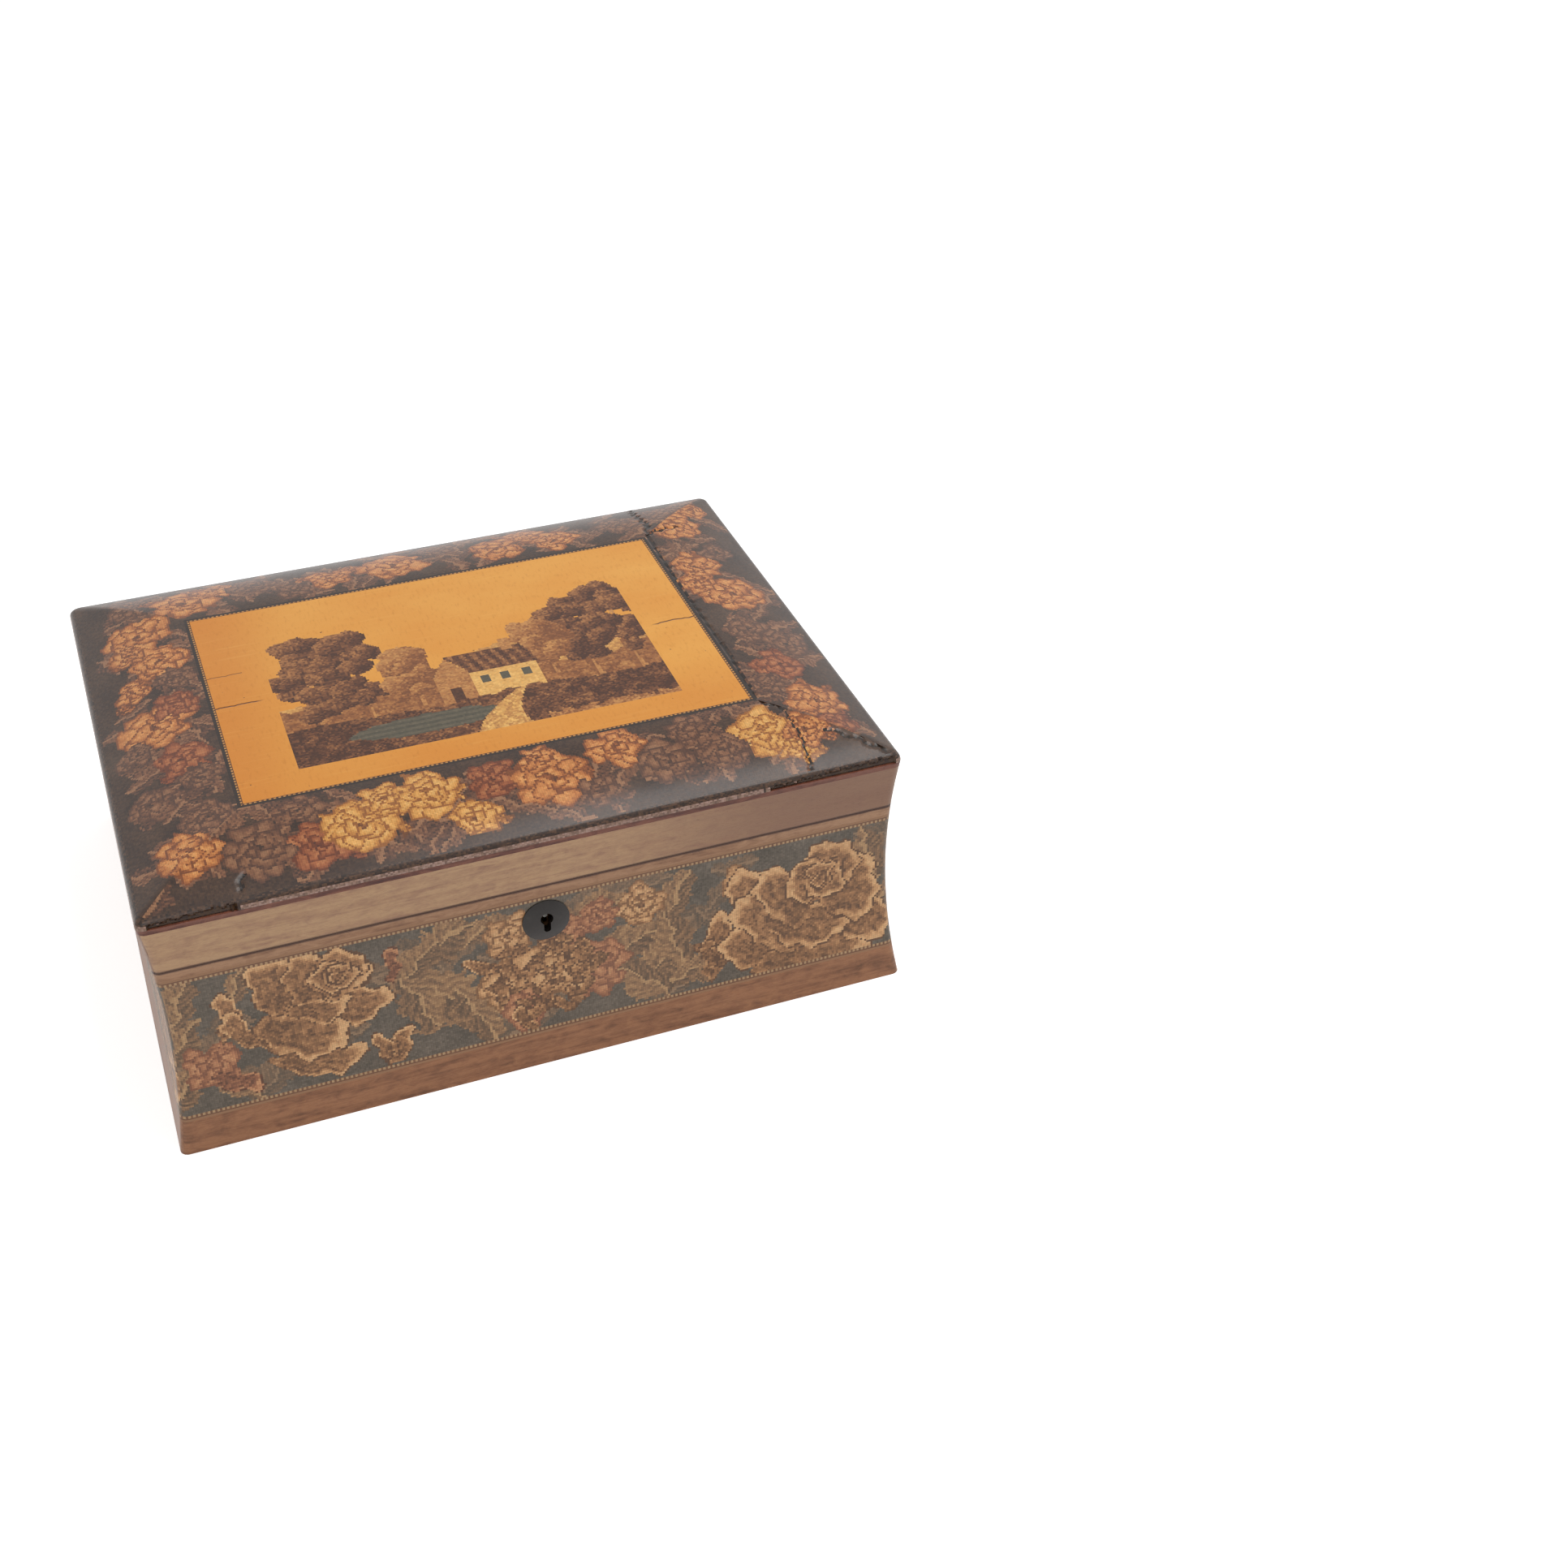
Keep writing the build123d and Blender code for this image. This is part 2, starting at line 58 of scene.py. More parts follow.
MM = 0.001
WIDE = ("front", "back")
SIDES = ("front", "right", "back", "left")
TURNS = {"front": 0.0, "right": math.pi / 2, "back": math.pi, "left": -math.pi / 2}


def span(node, axis):
    """Lowest and highest place of a frame node along one axis, in millimetres."""
    low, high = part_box(node)
    return low[axis] / MM, high[axis] / MM


RIM_W = 2 * span("rim_stringing", 0)[1]
RIM_D = 2 * span("rim_stringing", 1)[1]
RIM_Z = span("rim_stringing", 2)[0]
TOP_Z = span("panel_ground", 2)[1]
BASE_OUT = span("base_veneer_front", 0)[1] - RIM_W / 2
BORDER = RIM_W / 2 - span("panel_stringing", 0)[1]

# Sizes in millimetres

VENEER = 1.5
TOP_VENEER = 1.0
SIDE_R = 303.0
EDGE_R = 3.5
TESSERA = 0.8
RIM_LINE_W = 2.2
CORNER_R = 2.8
RIM_CHECKS = 1.8
CRACK_W = 0.55
CRACK_DEPTH = 0.45
HINGE_LENGTH = 30.0
HINGE_SPARE = 0.35
HINGE_PLAY = 0.6
PLATE_RISE = 1.6
KEYHOLE_R = 2.2
KEYHOLE_FOOT_R = 1.2
KEYHOLE_FOOT_Z = 57.8
THROUGH = 30.0
PAD_SWELL = 6.0
PAD_SPARE = 0.05
FLOOR_SIZE = 8000.0
FLOOR_DROP = 0.1

# Turn of a rod that stands along Y

UPRIGHT = (math.pi / 2, 0, 0)

# Pads, as shares of their size, and the air's pressure

PAD_SHARES = (0.985, 0.98, 0.62)
PAD_ROUND = 0.28
PAD_CARD = 0.3
PAD_PRESSURE = 4.0

# Lamps: name, place, aim and size in metres, and share of the lamp power

LAMPS = (
    ("key lamp", (-0.5, -0.9, 1.3), (0, 0, 0.05), 0.9, 0.8),
    ("top lamp", (0.36, -0.06, 1.15), (0, 0, 0.1), 0.5, 0.9),
)
FLOOR_GLOW = 0.55

# Counts

STRIP_COLUMNS = 260
CLOTH_FRAMES = 18
CUSHION_SAMPLES = 400

# Camera: metres, then azimuth, elevation and roll in degrees, then pixels and millimetres

CAMERA_PLACE = (-0.12189, -0.63194, 0.50254)
CAMERA_ANGLES = (-21.416, 35.519, 0.258)
LENS_PIXELS = 2527.19
PICTURE_PIXELS = 1932
FILM = 36.0


def half_width(side):
    """Half the rim's length on one side."""
    return (RIM_W if side in WIDE else RIM_D) / 2


# Shape of the hollow side and of the cushion

def side_centre():
    low = np.array([-BASE_OUT, 0.0])
    high = np.array([0.0, RIM_Z])
    mid = (low + high) / 2
    run = high - low
    chord = np.hypot(*run)
    reach = math.sqrt(SIDE_R ** 2 - chord ** 2 / 4)
    return mid + reach * np.array([-run[1], run[0]]) / chord


SIDE_C = side_centre()


def side_path(low, high, rows):
    """Points of the hollow face between two heights, as inset and height."""
    z = np.linspace(low, high, rows + 1)
    return np.stack([SIDE_C[0] + np.sqrt(SIDE_R ** 2 - (z - SIDE_C[1]) ** 2), z], 1)


def cushion_slope():
    slope = 0.4
    for _ in range(60):
        start = EDGE_R * (1 - math.sin(slope))
        slope = 2 * math.atan((TOP_Z - RIM_Z - EDGE_R * math.cos(slope)) / (BORDER - start))
    return slope


SLOPE = cushion_slope()
CROWN_R = (BORDER - EDGE_R * (1 - math.sin(SLOPE))) / math.sin(SLOPE)


def cushion_height(u):
    split = BORDER - CROWN_R * math.sin(SLOPE)
    crown = TOP_Z - CROWN_R + np.sqrt(CROWN_R ** 2 - (BORDER - u) ** 2)
    edge = RIM_Z + np.sqrt(np.maximum(EDGE_R ** 2 - (EDGE_R - u) ** 2, 0.0))
    return np.where(u >= split, crown, edge)


def cushion_path(low, high, rows):
    """Points of the cushion between two distances from the rim, evenly spaced along it."""
    u = low + (high - low) * np.linspace(0, 1, CUSHION_SAMPLES) ** 2
    z = cushion_height(u)
    run = np.concatenate([[0], np.cumsum(np.hypot(np.diff(u), np.diff(z)))])
    even = np.linspace(0, run[-1], rows + 1)
    return np.stack([np.interp(even, run, u), np.interp(even, run, z)], 1)


def worn_corner(gap, inset):
    """Extra inset of a rounded upright corner, at a gap from the mitre, in millimetres."""
    radius = CORNER_R * np.clip(1 - inset / BORDER, 0, 1)
    near = np.clip(radius - gap, 0, radius)
    return radius - np.sqrt(radius ** 2 - near ** 2)


def gap_to_line(x, y, points):
    """Distance to a line through a few points."""
    points = np.array(points, dtype=float)
    nearest = np.full(len(x), 1e3)
    for start, end in zip(points[:-1], points[1:]):
        run = end - start
        dx = x - start[0]
        dy = y - start[1]
        t = np.clip((dx * run[0] + dy * run[1]) / (run @ run), 0, 1)
        nearest = np.minimum(nearest, np.hypot(dx - t * run[0], dy - t * run[1]))
    return nearest


# Small tools for modelling

def clear_selection():
    if bpy.context.object and bpy.context.object.mode != "OBJECT":
        bpy.ops.object.mode_set(mode="OBJECT")
    bpy.ops.object.select_all(action="DESELECT")


def choose(obj):
    """Selects one object alone and makes it active."""
    clear_selection()
    obj.select_set(True)
    bpy.context.view_layer.objects.active = obj


def made(name):
    """The primitive that was just added, under its own name."""
    obj = bpy.context.active_object
    obj.name = name
    obj.data.name = name
    return obj


def set_points(obj, points):
    obj.data.vertices.foreach_set("co", np.asarray(points, dtype=np.float32).ravel())
    obj.data.update()


def get_points(obj):
    points = np.empty(len(obj.data.vertices) * 3, dtype=np.float32)
    obj.data.vertices.foreach_get("co", points)
    return points.reshape(-1, 3)


def settle(obj):
    """Turns, places and scales go into the mesh, so the object itself sits at the origin."""
    choose(obj)
    bpy.ops.object.transform_apply(location=True, rotation=True, scale=True)


def apply_modifier(obj, kind, **settings):
    choose(obj)
    modifier = obj.modifiers.new(kind.lower(), kind)
    for key, value in settings.items():
        setattr(modifier, key, value)
    bpy.ops.object.modifier_apply(modifier=modifier.name)


def smooth(obj, degrees=30):
    choose(obj)
    bpy.ops.object.shade_smooth_by_angle(angle=math.radians(degrees))


def trim(obj, place, normal):
    """Cuts off what lies on the normal's side of a plane and closes the cut."""
    choose(obj)
    bpy.ops.object.mode_set(mode="EDIT")
    bpy.ops.mesh.select_all(action="SELECT")
    bpy.ops.mesh.bisect(plane_co=place, plane_no=normal, use_fill=True, clear_outer=True)
    bpy.ops.object.mode_set(mode="OBJECT")


def rod(name, vertices, radius, length, place, turn):
    clear_selection()
    bpy.ops.mesh.primitive_cylinder_add(vertices=vertices, radius=radius, depth=length,
                                        location=place, rotation=turn)
    return made(name)


def cut(obj, cutter):
    """Takes the cutter's space out of an object."""
    apply_modifier(obj, "BOOLEAN", object=cutter, operation="DIFFERENCE", solver="EXACT")
    bpy.data.objects.remove(cutter)


def sheet(name, columns, rows):
    """A flat grid, with its points from -0.5 to 0.5."""
    clear_selection()
    bpy.ops.mesh.primitive_grid_add(x_subdivisions=columns, y_subdivisions=rows, size=1)
    obj = made(name)
    return obj, get_points(obj)


def lay_uv(obj, x, y):
    """UV map in millimetres from each point's own; gives the middle of each face."""
    corner = np.empty(len(obj.data.loops), dtype=np.int32)
    obj.data.loops.foreach_get("vertex_index", corner)
    uv = np.stack([x[corner], y[corner]], 1)
    obj.data.uv_layers[0].data.foreach_set("uv", uv.astype(np.float32).ravel())
    return uv.reshape(-1, 4, 2).mean(axis=1)


def lay_tint(obj, colours):
    """One colour for each face, which the mosaic finishes read."""
    rows = np.ones((len(colours), 4), dtype=np.float32)
    rows[:, :colours.shape[1]] = colours
    tint = obj.data.color_attributes.new("tint", "FLOAT_COLOR", "CORNER")
    tint.data.foreach_set("color", np.repeat(rows, 4, axis=0).ravel())


def give(obj, material, body, slot_name, *nodes):
    """Finish, body, record slot (not used) and the frame nodes that the piece stands for."""
    obj.data.materials.clear()
    obj.data.materials.append(material)
    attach(obj, body)
    if nodes:
        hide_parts(*nodes)


def skin(name, side, path, thickness, columns, paint=None, wear=None):
    """Veneer on one side: a grid bent over the path, thickened, and mitred at both corners.

    The UV map holds millimetres along and up the skin. paint gives a colour for each face
    and wear a depth for each point, both from those millimetres."""
    half = half_width(side)
    other = half_width("left" if side in WIDE else "front")
    rows = len(path) - 1
    reach = half - path[:, 0].min() + 3.0
    obj, grid = sheet(name, columns, rows)
    along = grid[:, 0] * 2 * reach
    row = (grid[:, 1] + 0.5) * rows
    step = np.hypot(np.diff(path[:, 0]), np.diff(path[:, 1]))
    run = np.concatenate([[0], np.cumsum(step)])
    index = np.arange(rows + 1)
    inset = np.interp(row, index, path[:, 0])
    height = np.interp(row, index, path[:, 1])
    up = np.interp(row, index, run)
    if wear is not None:
        tangent = np.gradient(path, axis=0)
        tangent /= np.linalg.norm(tangent, axis=1)[:, None]
        depth = wear(along, up)
        inset = inset + depth * np.interp(row, index, tangent[:, 1])
        height = height - depth * np.interp(row, index, tangent[:, 0])
    inset = inset + worn_corner(half - inset - np.abs(along), inset)
    set_points(obj, np.stack([along, inset - other, height], 1) * MM)
    faces = lay_uv(obj, along, up)
    if paint is not None:
        lay_tint(obj, paint(faces[:, 0], faces[:, 1]))
    apply_modifier(obj, "SOLIDIFY", thickness=thickness * MM, offset=-1.0)
    for way in (-1, 1):
        trim(obj, (way * half * MM, -other * MM, 0), (way, 1, 0))
    obj.rotation_euler = (0, 0, TURNS[side])
    settle(obj)
    smooth(obj)
    return obj


# Shader tools

def math_step(operation, backward=False):
    """A method that adds one Math node to the bench."""
    def method(self, *others):
        values = (*others, self) if backward else (self, *others)
        return self.bench.add("ShaderNodeMath", {"operation": operation}, dict(enumerate(values)))

    return method


class Value:
    """A socket that adds a Math node when it is used in a sum."""

    __add__ = __radd__ = math_step("ADD")
    __mul__ = __rmul__ = math_step("MULTIPLY")
    __sub__ = math_step("SUBTRACT")
    __rsub__ = math_step("SUBTRACT", backward=True)
    __truediv__ = math_step("DIVIDE")
    __gt__ = math_step("GREATER_THAN")
    __lt__ = math_step("LESS_THAN")
    floor = math_step("FLOOR")
    fract = math_step("FRACT")
    absolute = math_step("ABSOLUTE")
    highest = math_step("MAXIMUM")
    lowest = math_step("MINIMUM")

    def __init__(self, bench, socket):
        self.bench = bench
        self.socket = socket


class Bench:
    """One material and the nodes that it is made of."""

    def __init__(self, name, **fixed):
        self.material = bpy.data.materials.new(name)
        self.material.use_nodes = True
        self.tree = self.material.node_tree
        self.shader = self.tree.nodes["Principled BSDF"]
        for key, value in fixed.items():
            self.shader.inputs[key.replace("_", " ")].default_value = value

    def add(self, kind, settings=None, inputs=None, out=0):
        node = self.tree.nodes.new(kind)
        for key, value in (settings or {}).items():
            if key == "stops":
                ramp = node.color_ramp
                while len(ramp.elements) < len(value):
                    ramp.elements.new(0.5)
                for element, (place, colour) in zip(ramp.elements, value):
                    element.position = place
                    element.color = colour
            else:
                setattr(node, key, value)
        for key, value in (inputs or {}).items():
            if isinstance(value, Value):
                self.tree.links.new(value.socket, node.inputs[key])
            elif value is not None:
                node.inputs[key].default_value = value
        return Value(self, node.outputs[out])

    def place(self, kind="Object"):
        node = self.tree.nodes.new("ShaderNodeTexCoord")
        return Value(self, node.outputs[kind])

    def stretch(self, vector, scale):
        return self.add("ShaderNodeMapping", {}, {"Vector": vector, "Scale": scale})

    def axes(self, vector):
        node = self.tree.nodes.new("ShaderNodeSeparateXYZ")
        self.tree.links.new(vector.socket, node.inputs[0])
        return [Value(self, node.outputs[i]) for i in range(3)]

    def join(self, x, y, z):
        return self.add("ShaderNodeCombineXYZ", {}, {0: x, 1: y, 2: z})

    def noise(self, vector, scale, detail=4.0, rough=0.6, distortion=0.0):
        return self.add("ShaderNodeTexNoise", {}, {
            "Vector": vector, "Scale": scale, "Detail": detail, "Roughness": rough,
            "Distortion": distortion})

    def scaled(self, colour, amount):
        return self.add("ShaderNodeVectorMath", {"operation": "SCALE"},
                        {0: colour, "Scale": amount})

    def random(self, vector):
        return self.add("ShaderNodeTexWhiteNoise", {"noise_dimensions": "3D"}, {"Vector": vector})

    def ramp(self, factor, *stops):
        return self.add("ShaderNodeValToRGB", {"stops": [(p, linear(c)) for p, c in stops]},
                        {"Fac": factor})

    def mask(self, factor, low, high):
        return self.add("ShaderNodeMapRange", {"interpolation_type": "SMOOTHSTEP"},
                        {"Value": factor, "From Min": low, "From Max": high})

    def mix(self, factor, a, b, blend="MIX"):
        return self.add("ShaderNodeMix", {"data_type": "RGBA", "blend_type": blend},
                        {0: factor, 6: linear(a), 7: linear(b)}, out=2)

    def feed(self, name, value):
        self.tree.links.new(value.socket, self.shader.inputs[name])

    def bump(self, height, strength, distance):
        normal = self.add("ShaderNodeBump", {}, {
            "Height": height, "Strength": strength, "Distance": distance})
        self.feed("Normal", normal)


def linear(colour):
    """A hex colour as it shows on screen, as the linear colour that a socket takes."""
    if not isinstance(colour, str):
        return colour
    values = [int(colour[i:i + 2], 16) / 255 for i in (1, 3, 5)]
    return (*[((v + 0.055) / 1.055) ** 2.4 if v > 0.04045 else v / 12.92 for v in values], 1.0)


def hex_rows(*colours):
    return np.array([linear(c)[:3] for c in colours])


# Finishes

def mosaic_finish(name, depth=1.0, polish=0.04, rough=0.36):
    """End-grain mosaic under old polish: the piece's own tints, fine glue lines and grain."""
    b = Bench(name, Coat_Roughness=0.18, Specular_IOR_Level=0.25, Coat_IOR=1.5)
    x, y, _ = b.axes(b.place("UV"))
    cell_x = x / TESSERA
    cell_y = y / TESSERA
    spot = b.random(b.join(cell_x.floor(), cell_y.floor(), 0.0))
    line_x = ((cell_x.fract() - 0.5).absolute() > 0.43)
    line_y = ((cell_y.fract() - 0.5).absolute() > 0.43)
    line = line_x.highest(line_y)
    grain = b.noise(b.place(), 900.0, 2.0)
    cloud = b.noise(b.place(), 26.0, 4.0)
    tint = b.add("ShaderNodeAttribute", {"attribute_name": "tint"})
    shade = 0.84 + 0.22 * spot + 0.10 * grain
    worn = b.mix(line * 0.30 * depth, tint, "#2e241c")
    lit = b.scaled(worn, shade)
    haze = b.mask(cloud, 0.50, 0.75) * 0.05
    b.feed("Base Color", b.mix(haze, lit, "#9a8a78"))
    b.feed("Roughness", rough + 0.18 * cloud + 0.06 * spot)
    b.feed("Coat Weight", polish + 0.22 * cloud)
    b.bump(spot * 0.4 + grain * 0.2 - line * 0.6, 0.25, 0.00012)
    return b.material


def veneer_finish(name, dark, mid, light, tail=None, streak=1.0, gloss=0.34, lines=()):
    """Long-grained veneer: streaks and mottles run along the strip, with pores and painted shade
    along edges.

    lines are places across the strip, in millimetres, where painted shade darkens the veneer along
    the lid-case joint."""
    b = Bench(name, Coat_Roughness=0.16, Specular_IOR_Level=0.25, Coat_IOR=1.5)
    u, v, _ = b.axes(b.place("UV"))
    warp = b.noise(b.join(u * 0.012, v * 0.05, 0.0), 1.0, 2.0)
    flow = b.noise(b.join(u * 0.020, v * 0.34 + warp * 2.0, 0.0), 1.0, 6.0, 0.68)
    mottle = b.noise(b.join(u * 0.16, v * 0.30, 5.0), 1.0, 4.0, 0.65, 0.6)
    pores = b.noise(b.join(u * 0.45, v * 5.0, 0.0), 1.0, 3.0, 0.7)
    figure = flow * 0.6 + mottle * 0.4
    base = b.ramp(figure, (0.36, dark), (0.46, mid), (0.56, light), (0.68, mid))
    smoke = b.mask(b.noise(b.join(u * 0.05, v * 0.7, 9.0), 1.0, 5.0, 0.7), 0.54, 0.70)
    base = b.mix(smoke * 0.55 * streak, base, dark)
    if tail:
        base = b.mix(b.mask(u + 60.0 * (flow - 0.5), 10.0, 95.0) * 0.85, base, tail)
    base = b.mix(b.mask(pores, 0.52, 0.70) * 0.30 * streak, base, "#3a2415")
    # Painted shade: each place in lines gets a dark line, standing in for the shade at the lid-case
    # joint.
    for line in lines:
        rough = line + 0.5 * (mottle - 0.5)
        near = 1.0 - b.mask((v - rough).absolute(), 0.15, 0.75)
        base = b.mix(near * 0.85, base, "#3a1d16")
    b.feed("Base Color", base)
    b.feed("Roughness", gloss + 0.22 * mottle)
    b.feed("Coat Weight", 0.05 + 0.22 * flow)
    b.bump(pores * 0.5 + flow, 0.20, 0.00015)
    return b.material


def checks_finish(name, light, dark, ground, line):
    """Stringing: a row of light and dark tesserae, then a tan line with a dark edge."""
    b = Bench(name, Coat_Roughness=0.2, Specular_IOR_Level=0.25, Coat_IOR=1.5, Coat_Weight=0.12)
    u, v, _ = b.axes(b.place("UV"))
    wobble = b.noise(b.join(u * 0.3, v * 0.3, 0.0), 1.0, 2.0)
    cell = (u + 0.12 * wobble) / (2 * TESSERA)
    light_cell = ((cell.fract() - 0.5).absolute() > 0.24)
    spot = b.random(b.join(cell.floor(), 0.0, light_cell))
    pair = b.mix(light_cell, dark, light)
    pair = b.mix(spot * 0.45, pair, ground)
    row = v + 0.10 * (wobble - 0.5)
    stripe = b.mix((row > 1.0) * 1.0, pair, ground)
    edge = ((row - 1.25).absolute() < 0.22)
    stripe = b.mix(edge * 0.8, stripe, line)
    grain = b.noise(b.join(u * 1.5, v * 6.0, 0.0), 1.0, 3.0)
    b.feed("Base Color", b.mix(grain * 0.35, stripe, "#4b3426"))
    b.feed("Roughness", 0.35 + 0.2 * grain)
    b.bump(light_cell * 0.3 + grain * 0.4 - edge * 0.8, 0.3, 0.00015)
    return b.material


def panel_colour(b):
    """Yellow wood: fine flecks, pale and orange zones, splits and old marks."""
    x, y, _ = b.axes(b.place())
    x = x * 1000.0
    y = y * 1000.0
    zone = b.noise(b.join(x * 0.012, y * 0.02, 0.0), 1.0, 3.0)
    fleck = b.noise(b.join(x * 0.9, y * 0.25, 0.0), 1.0, 4.0, 0.65)
    streak = b.noise(b.join(x * 0.03, y * 0.8, 0.0), 1.0, 3.0, 0.6)
    base = b.ramp(zone, (0.30, "#d88f38"), (0.50, "#dd9a43"), (0.72, "#e4a64f"))
    left = b.mask(24.0 * zone - x, 60.0, 100.0)
    front = b.mask(10.0 * zone - y, 30.0, 62.0) * 0.6
    base = b.mix(left.highest(front) * 0.75, base, "#cb7c2c")
    base = b.mix(b.mask(fleck, 0.50, 0.75) * 0.30, base, "#a9621f")
    base = b.mix(b.mask(streak, 0.55, 0.75) * 0.20, base, "#e9b45f")
    waver = b.noise(b.join(x * 0.08, 0.0, 0.0), 1.0, 3.0)
    gap = (y + 1.6 + 5.0 * (waver - 0.5)).absolute()
    split = (1.0 - b.mask(gap, 0.10, 0.55)) * b.mask(x.absolute(), 71.0, 75.0)
    gap_two = (y - 19.0 + 6.0 * (waver - 0.5)).absolute()
    split_two = (1.0 - b.mask(gap_two, 0.05, 0.45)) * (x < -76.0) * 0.7
    marks = b.mask(b.noise(b.join(x * 0.28, y * 0.28, 7.0), 1.0, 2.0), 0.735, 0.77)
    dark = split.highest(split_two).highest(marks * 0.8)
    return b.mix(dark, base, "#4a2410"), fleck, dark


def panel_finish(name):
    """Yellow wood round the view."""
    b = Bench(name, Coat_Roughness=0.12, Specular_IOR_Level=0.2, Coat_IOR=1.5, Coat_Weight=0.08)
    colour, fleck, dark = panel_colour(b)
    b.feed("Base Color", colour)
    b.feed("Roughness", 0.26 + 0.15 * fleck)
    b.bump(fleck * 0.3 - dark * 2.0, 0.25, 0.0002)
    return b.material


def view_finish(name):
    """Mosaic of the view, with the panel's own wood where the tint's alpha is 0."""
    b = Bench(name, Coat_Roughness=0.14, Specular_IOR_Level=0.2, Coat_IOR=1.5, Coat_Weight=0.08)
    x, y, _ = b.axes(b.place("UV"))
    spot = b.random(b.join((x / TESSERA).floor(), (y / TESSERA).floor(), 0.0))
    tint = b.add("ShaderNodeAttribute", {"attribute_name": "tint"})
    inlaid = b.add("ShaderNodeAttribute", {"attribute_name": "tint"}, out=3)
    lit = b.scaled(tint, 0.86 + 0.22 * spot)
    wood, fleck, _ = panel_colour(b)
    b.feed("Base Color", b.mix(inlaid, wood, lit))
    b.feed("Roughness", 0.26 + 0.15 * fleck + 0.08 * spot * inlaid)
    b.bump(spot * inlaid + fleck * 0.3, 0.2, 0.0001)
    return b.material


def carcase_finish(name, dark, light, along=0):
    """Plain carcase wood, seen on edges and inside: object coordinates, grain along one axis."""
    b = Bench(name, IOR=1.45)
    scale = [160.0, 160.0, 160.0]
    scale[along] = 9.0
    grain = b.noise(b.stretch(b.place(), scale), 1.0, 5.0, 0.65, 0.4)
    fine = b.noise(b.place(), 1400.0, 2.0)
    base = b.ramp(grain, (0.32, dark), (0.62, light))
    b.feed("Base Color", b.mix(fine * 0.25, base, dark))
    b.feed("Roughness", 0.50 + 0.25 * grain)
    b.bump(grain + fine * 0.4, 0.25, 0.0002)
    return b.material


def metal_finish(name, bright, dull, dirt, rough=0.32):
    """Old metal: bright where rubbed, dull and stained elsewhere, with fine scratches."""
    b = Bench(name)
    cloud = b.noise(b.place(), 160.0, 5.0, 0.65)
    fine = b.noise(b.stretch(b.place(), (300.0, 2600.0, 2600.0)), 1.0, 2.0)
    base = b.ramp(cloud, (0.34, dirt), (0.50, dull), (0.66, bright))
    b.feed("Base Color", base)
    b.feed("Metallic", b.mask(cloud, 0.30, 0.46) * 0.35 + 0.6)
    b.feed("Roughness", rough + 0.30 * (1.0 - cloud) + 0.08 * fine)
    b.bump(cloud + fine * 0.3, 0.2, 0.0002)
    return b.material


def plate_finish(name):
    """Keyhole plate: nearly black, worn smooth, with a faint grey bloom on its dome."""
    b = Bench(name, IOR=1.5)
    cloud = b.noise(b.place(), 240.0, 5.0, 0.6)
    fine = b.noise(b.place(), 1900.0, 2.0)
    base = b.ramp(cloud, (0.35, "#171412"), (0.55, "#221f1d"), (0.75, "#302d2b"))
    b.feed("Base Color", b.mix(fine * 0.35, base, "#2c1e18"))
    b.feed("Roughness", 0.20 + 0.22 * cloud)
    b.feed("Metallic", 0.25 + 0.2 * cloud)
    b.bump(cloud + 0.3 * fine, 0.25, 0.0002)
    return b.material


def cloth_finish(name, deep, light, thread=0.00035, sheen=0.5, rough=0.5):
    """Woven cloth: warp and weft from object coordinates, slubs and a soft sheen."""
    b = Bench(name, Sheen_Weight=sheen, Sheen_Roughness=0.35)
    x, y, z = b.axes(b.place())
    warp = ((x / thread).fract() - 0.5).absolute()
    weft = (((y + z) / thread).fract() - 0.5).absolute()
    weave = (warp + weft)
    slub = b.noise(b.stretch(b.place(), (60.0, 900.0, 900.0)), 1.0, 3.0)
    cloud = b.noise(b.place(), 22.0, 4.0)
    base = b.ramp(cloud * 0.6 + slub * 0.4, (0.35, deep), (0.65, light))
    b.feed("Base Color", b.mix((1.0 - weave) * 0.30, base, deep))
    b.feed("Roughness", rough + 0.25 * slub)
    b.bump(weave + slub * 0.6, 0.35, 0.0002)
    return b.material


# Drawing with tesserae

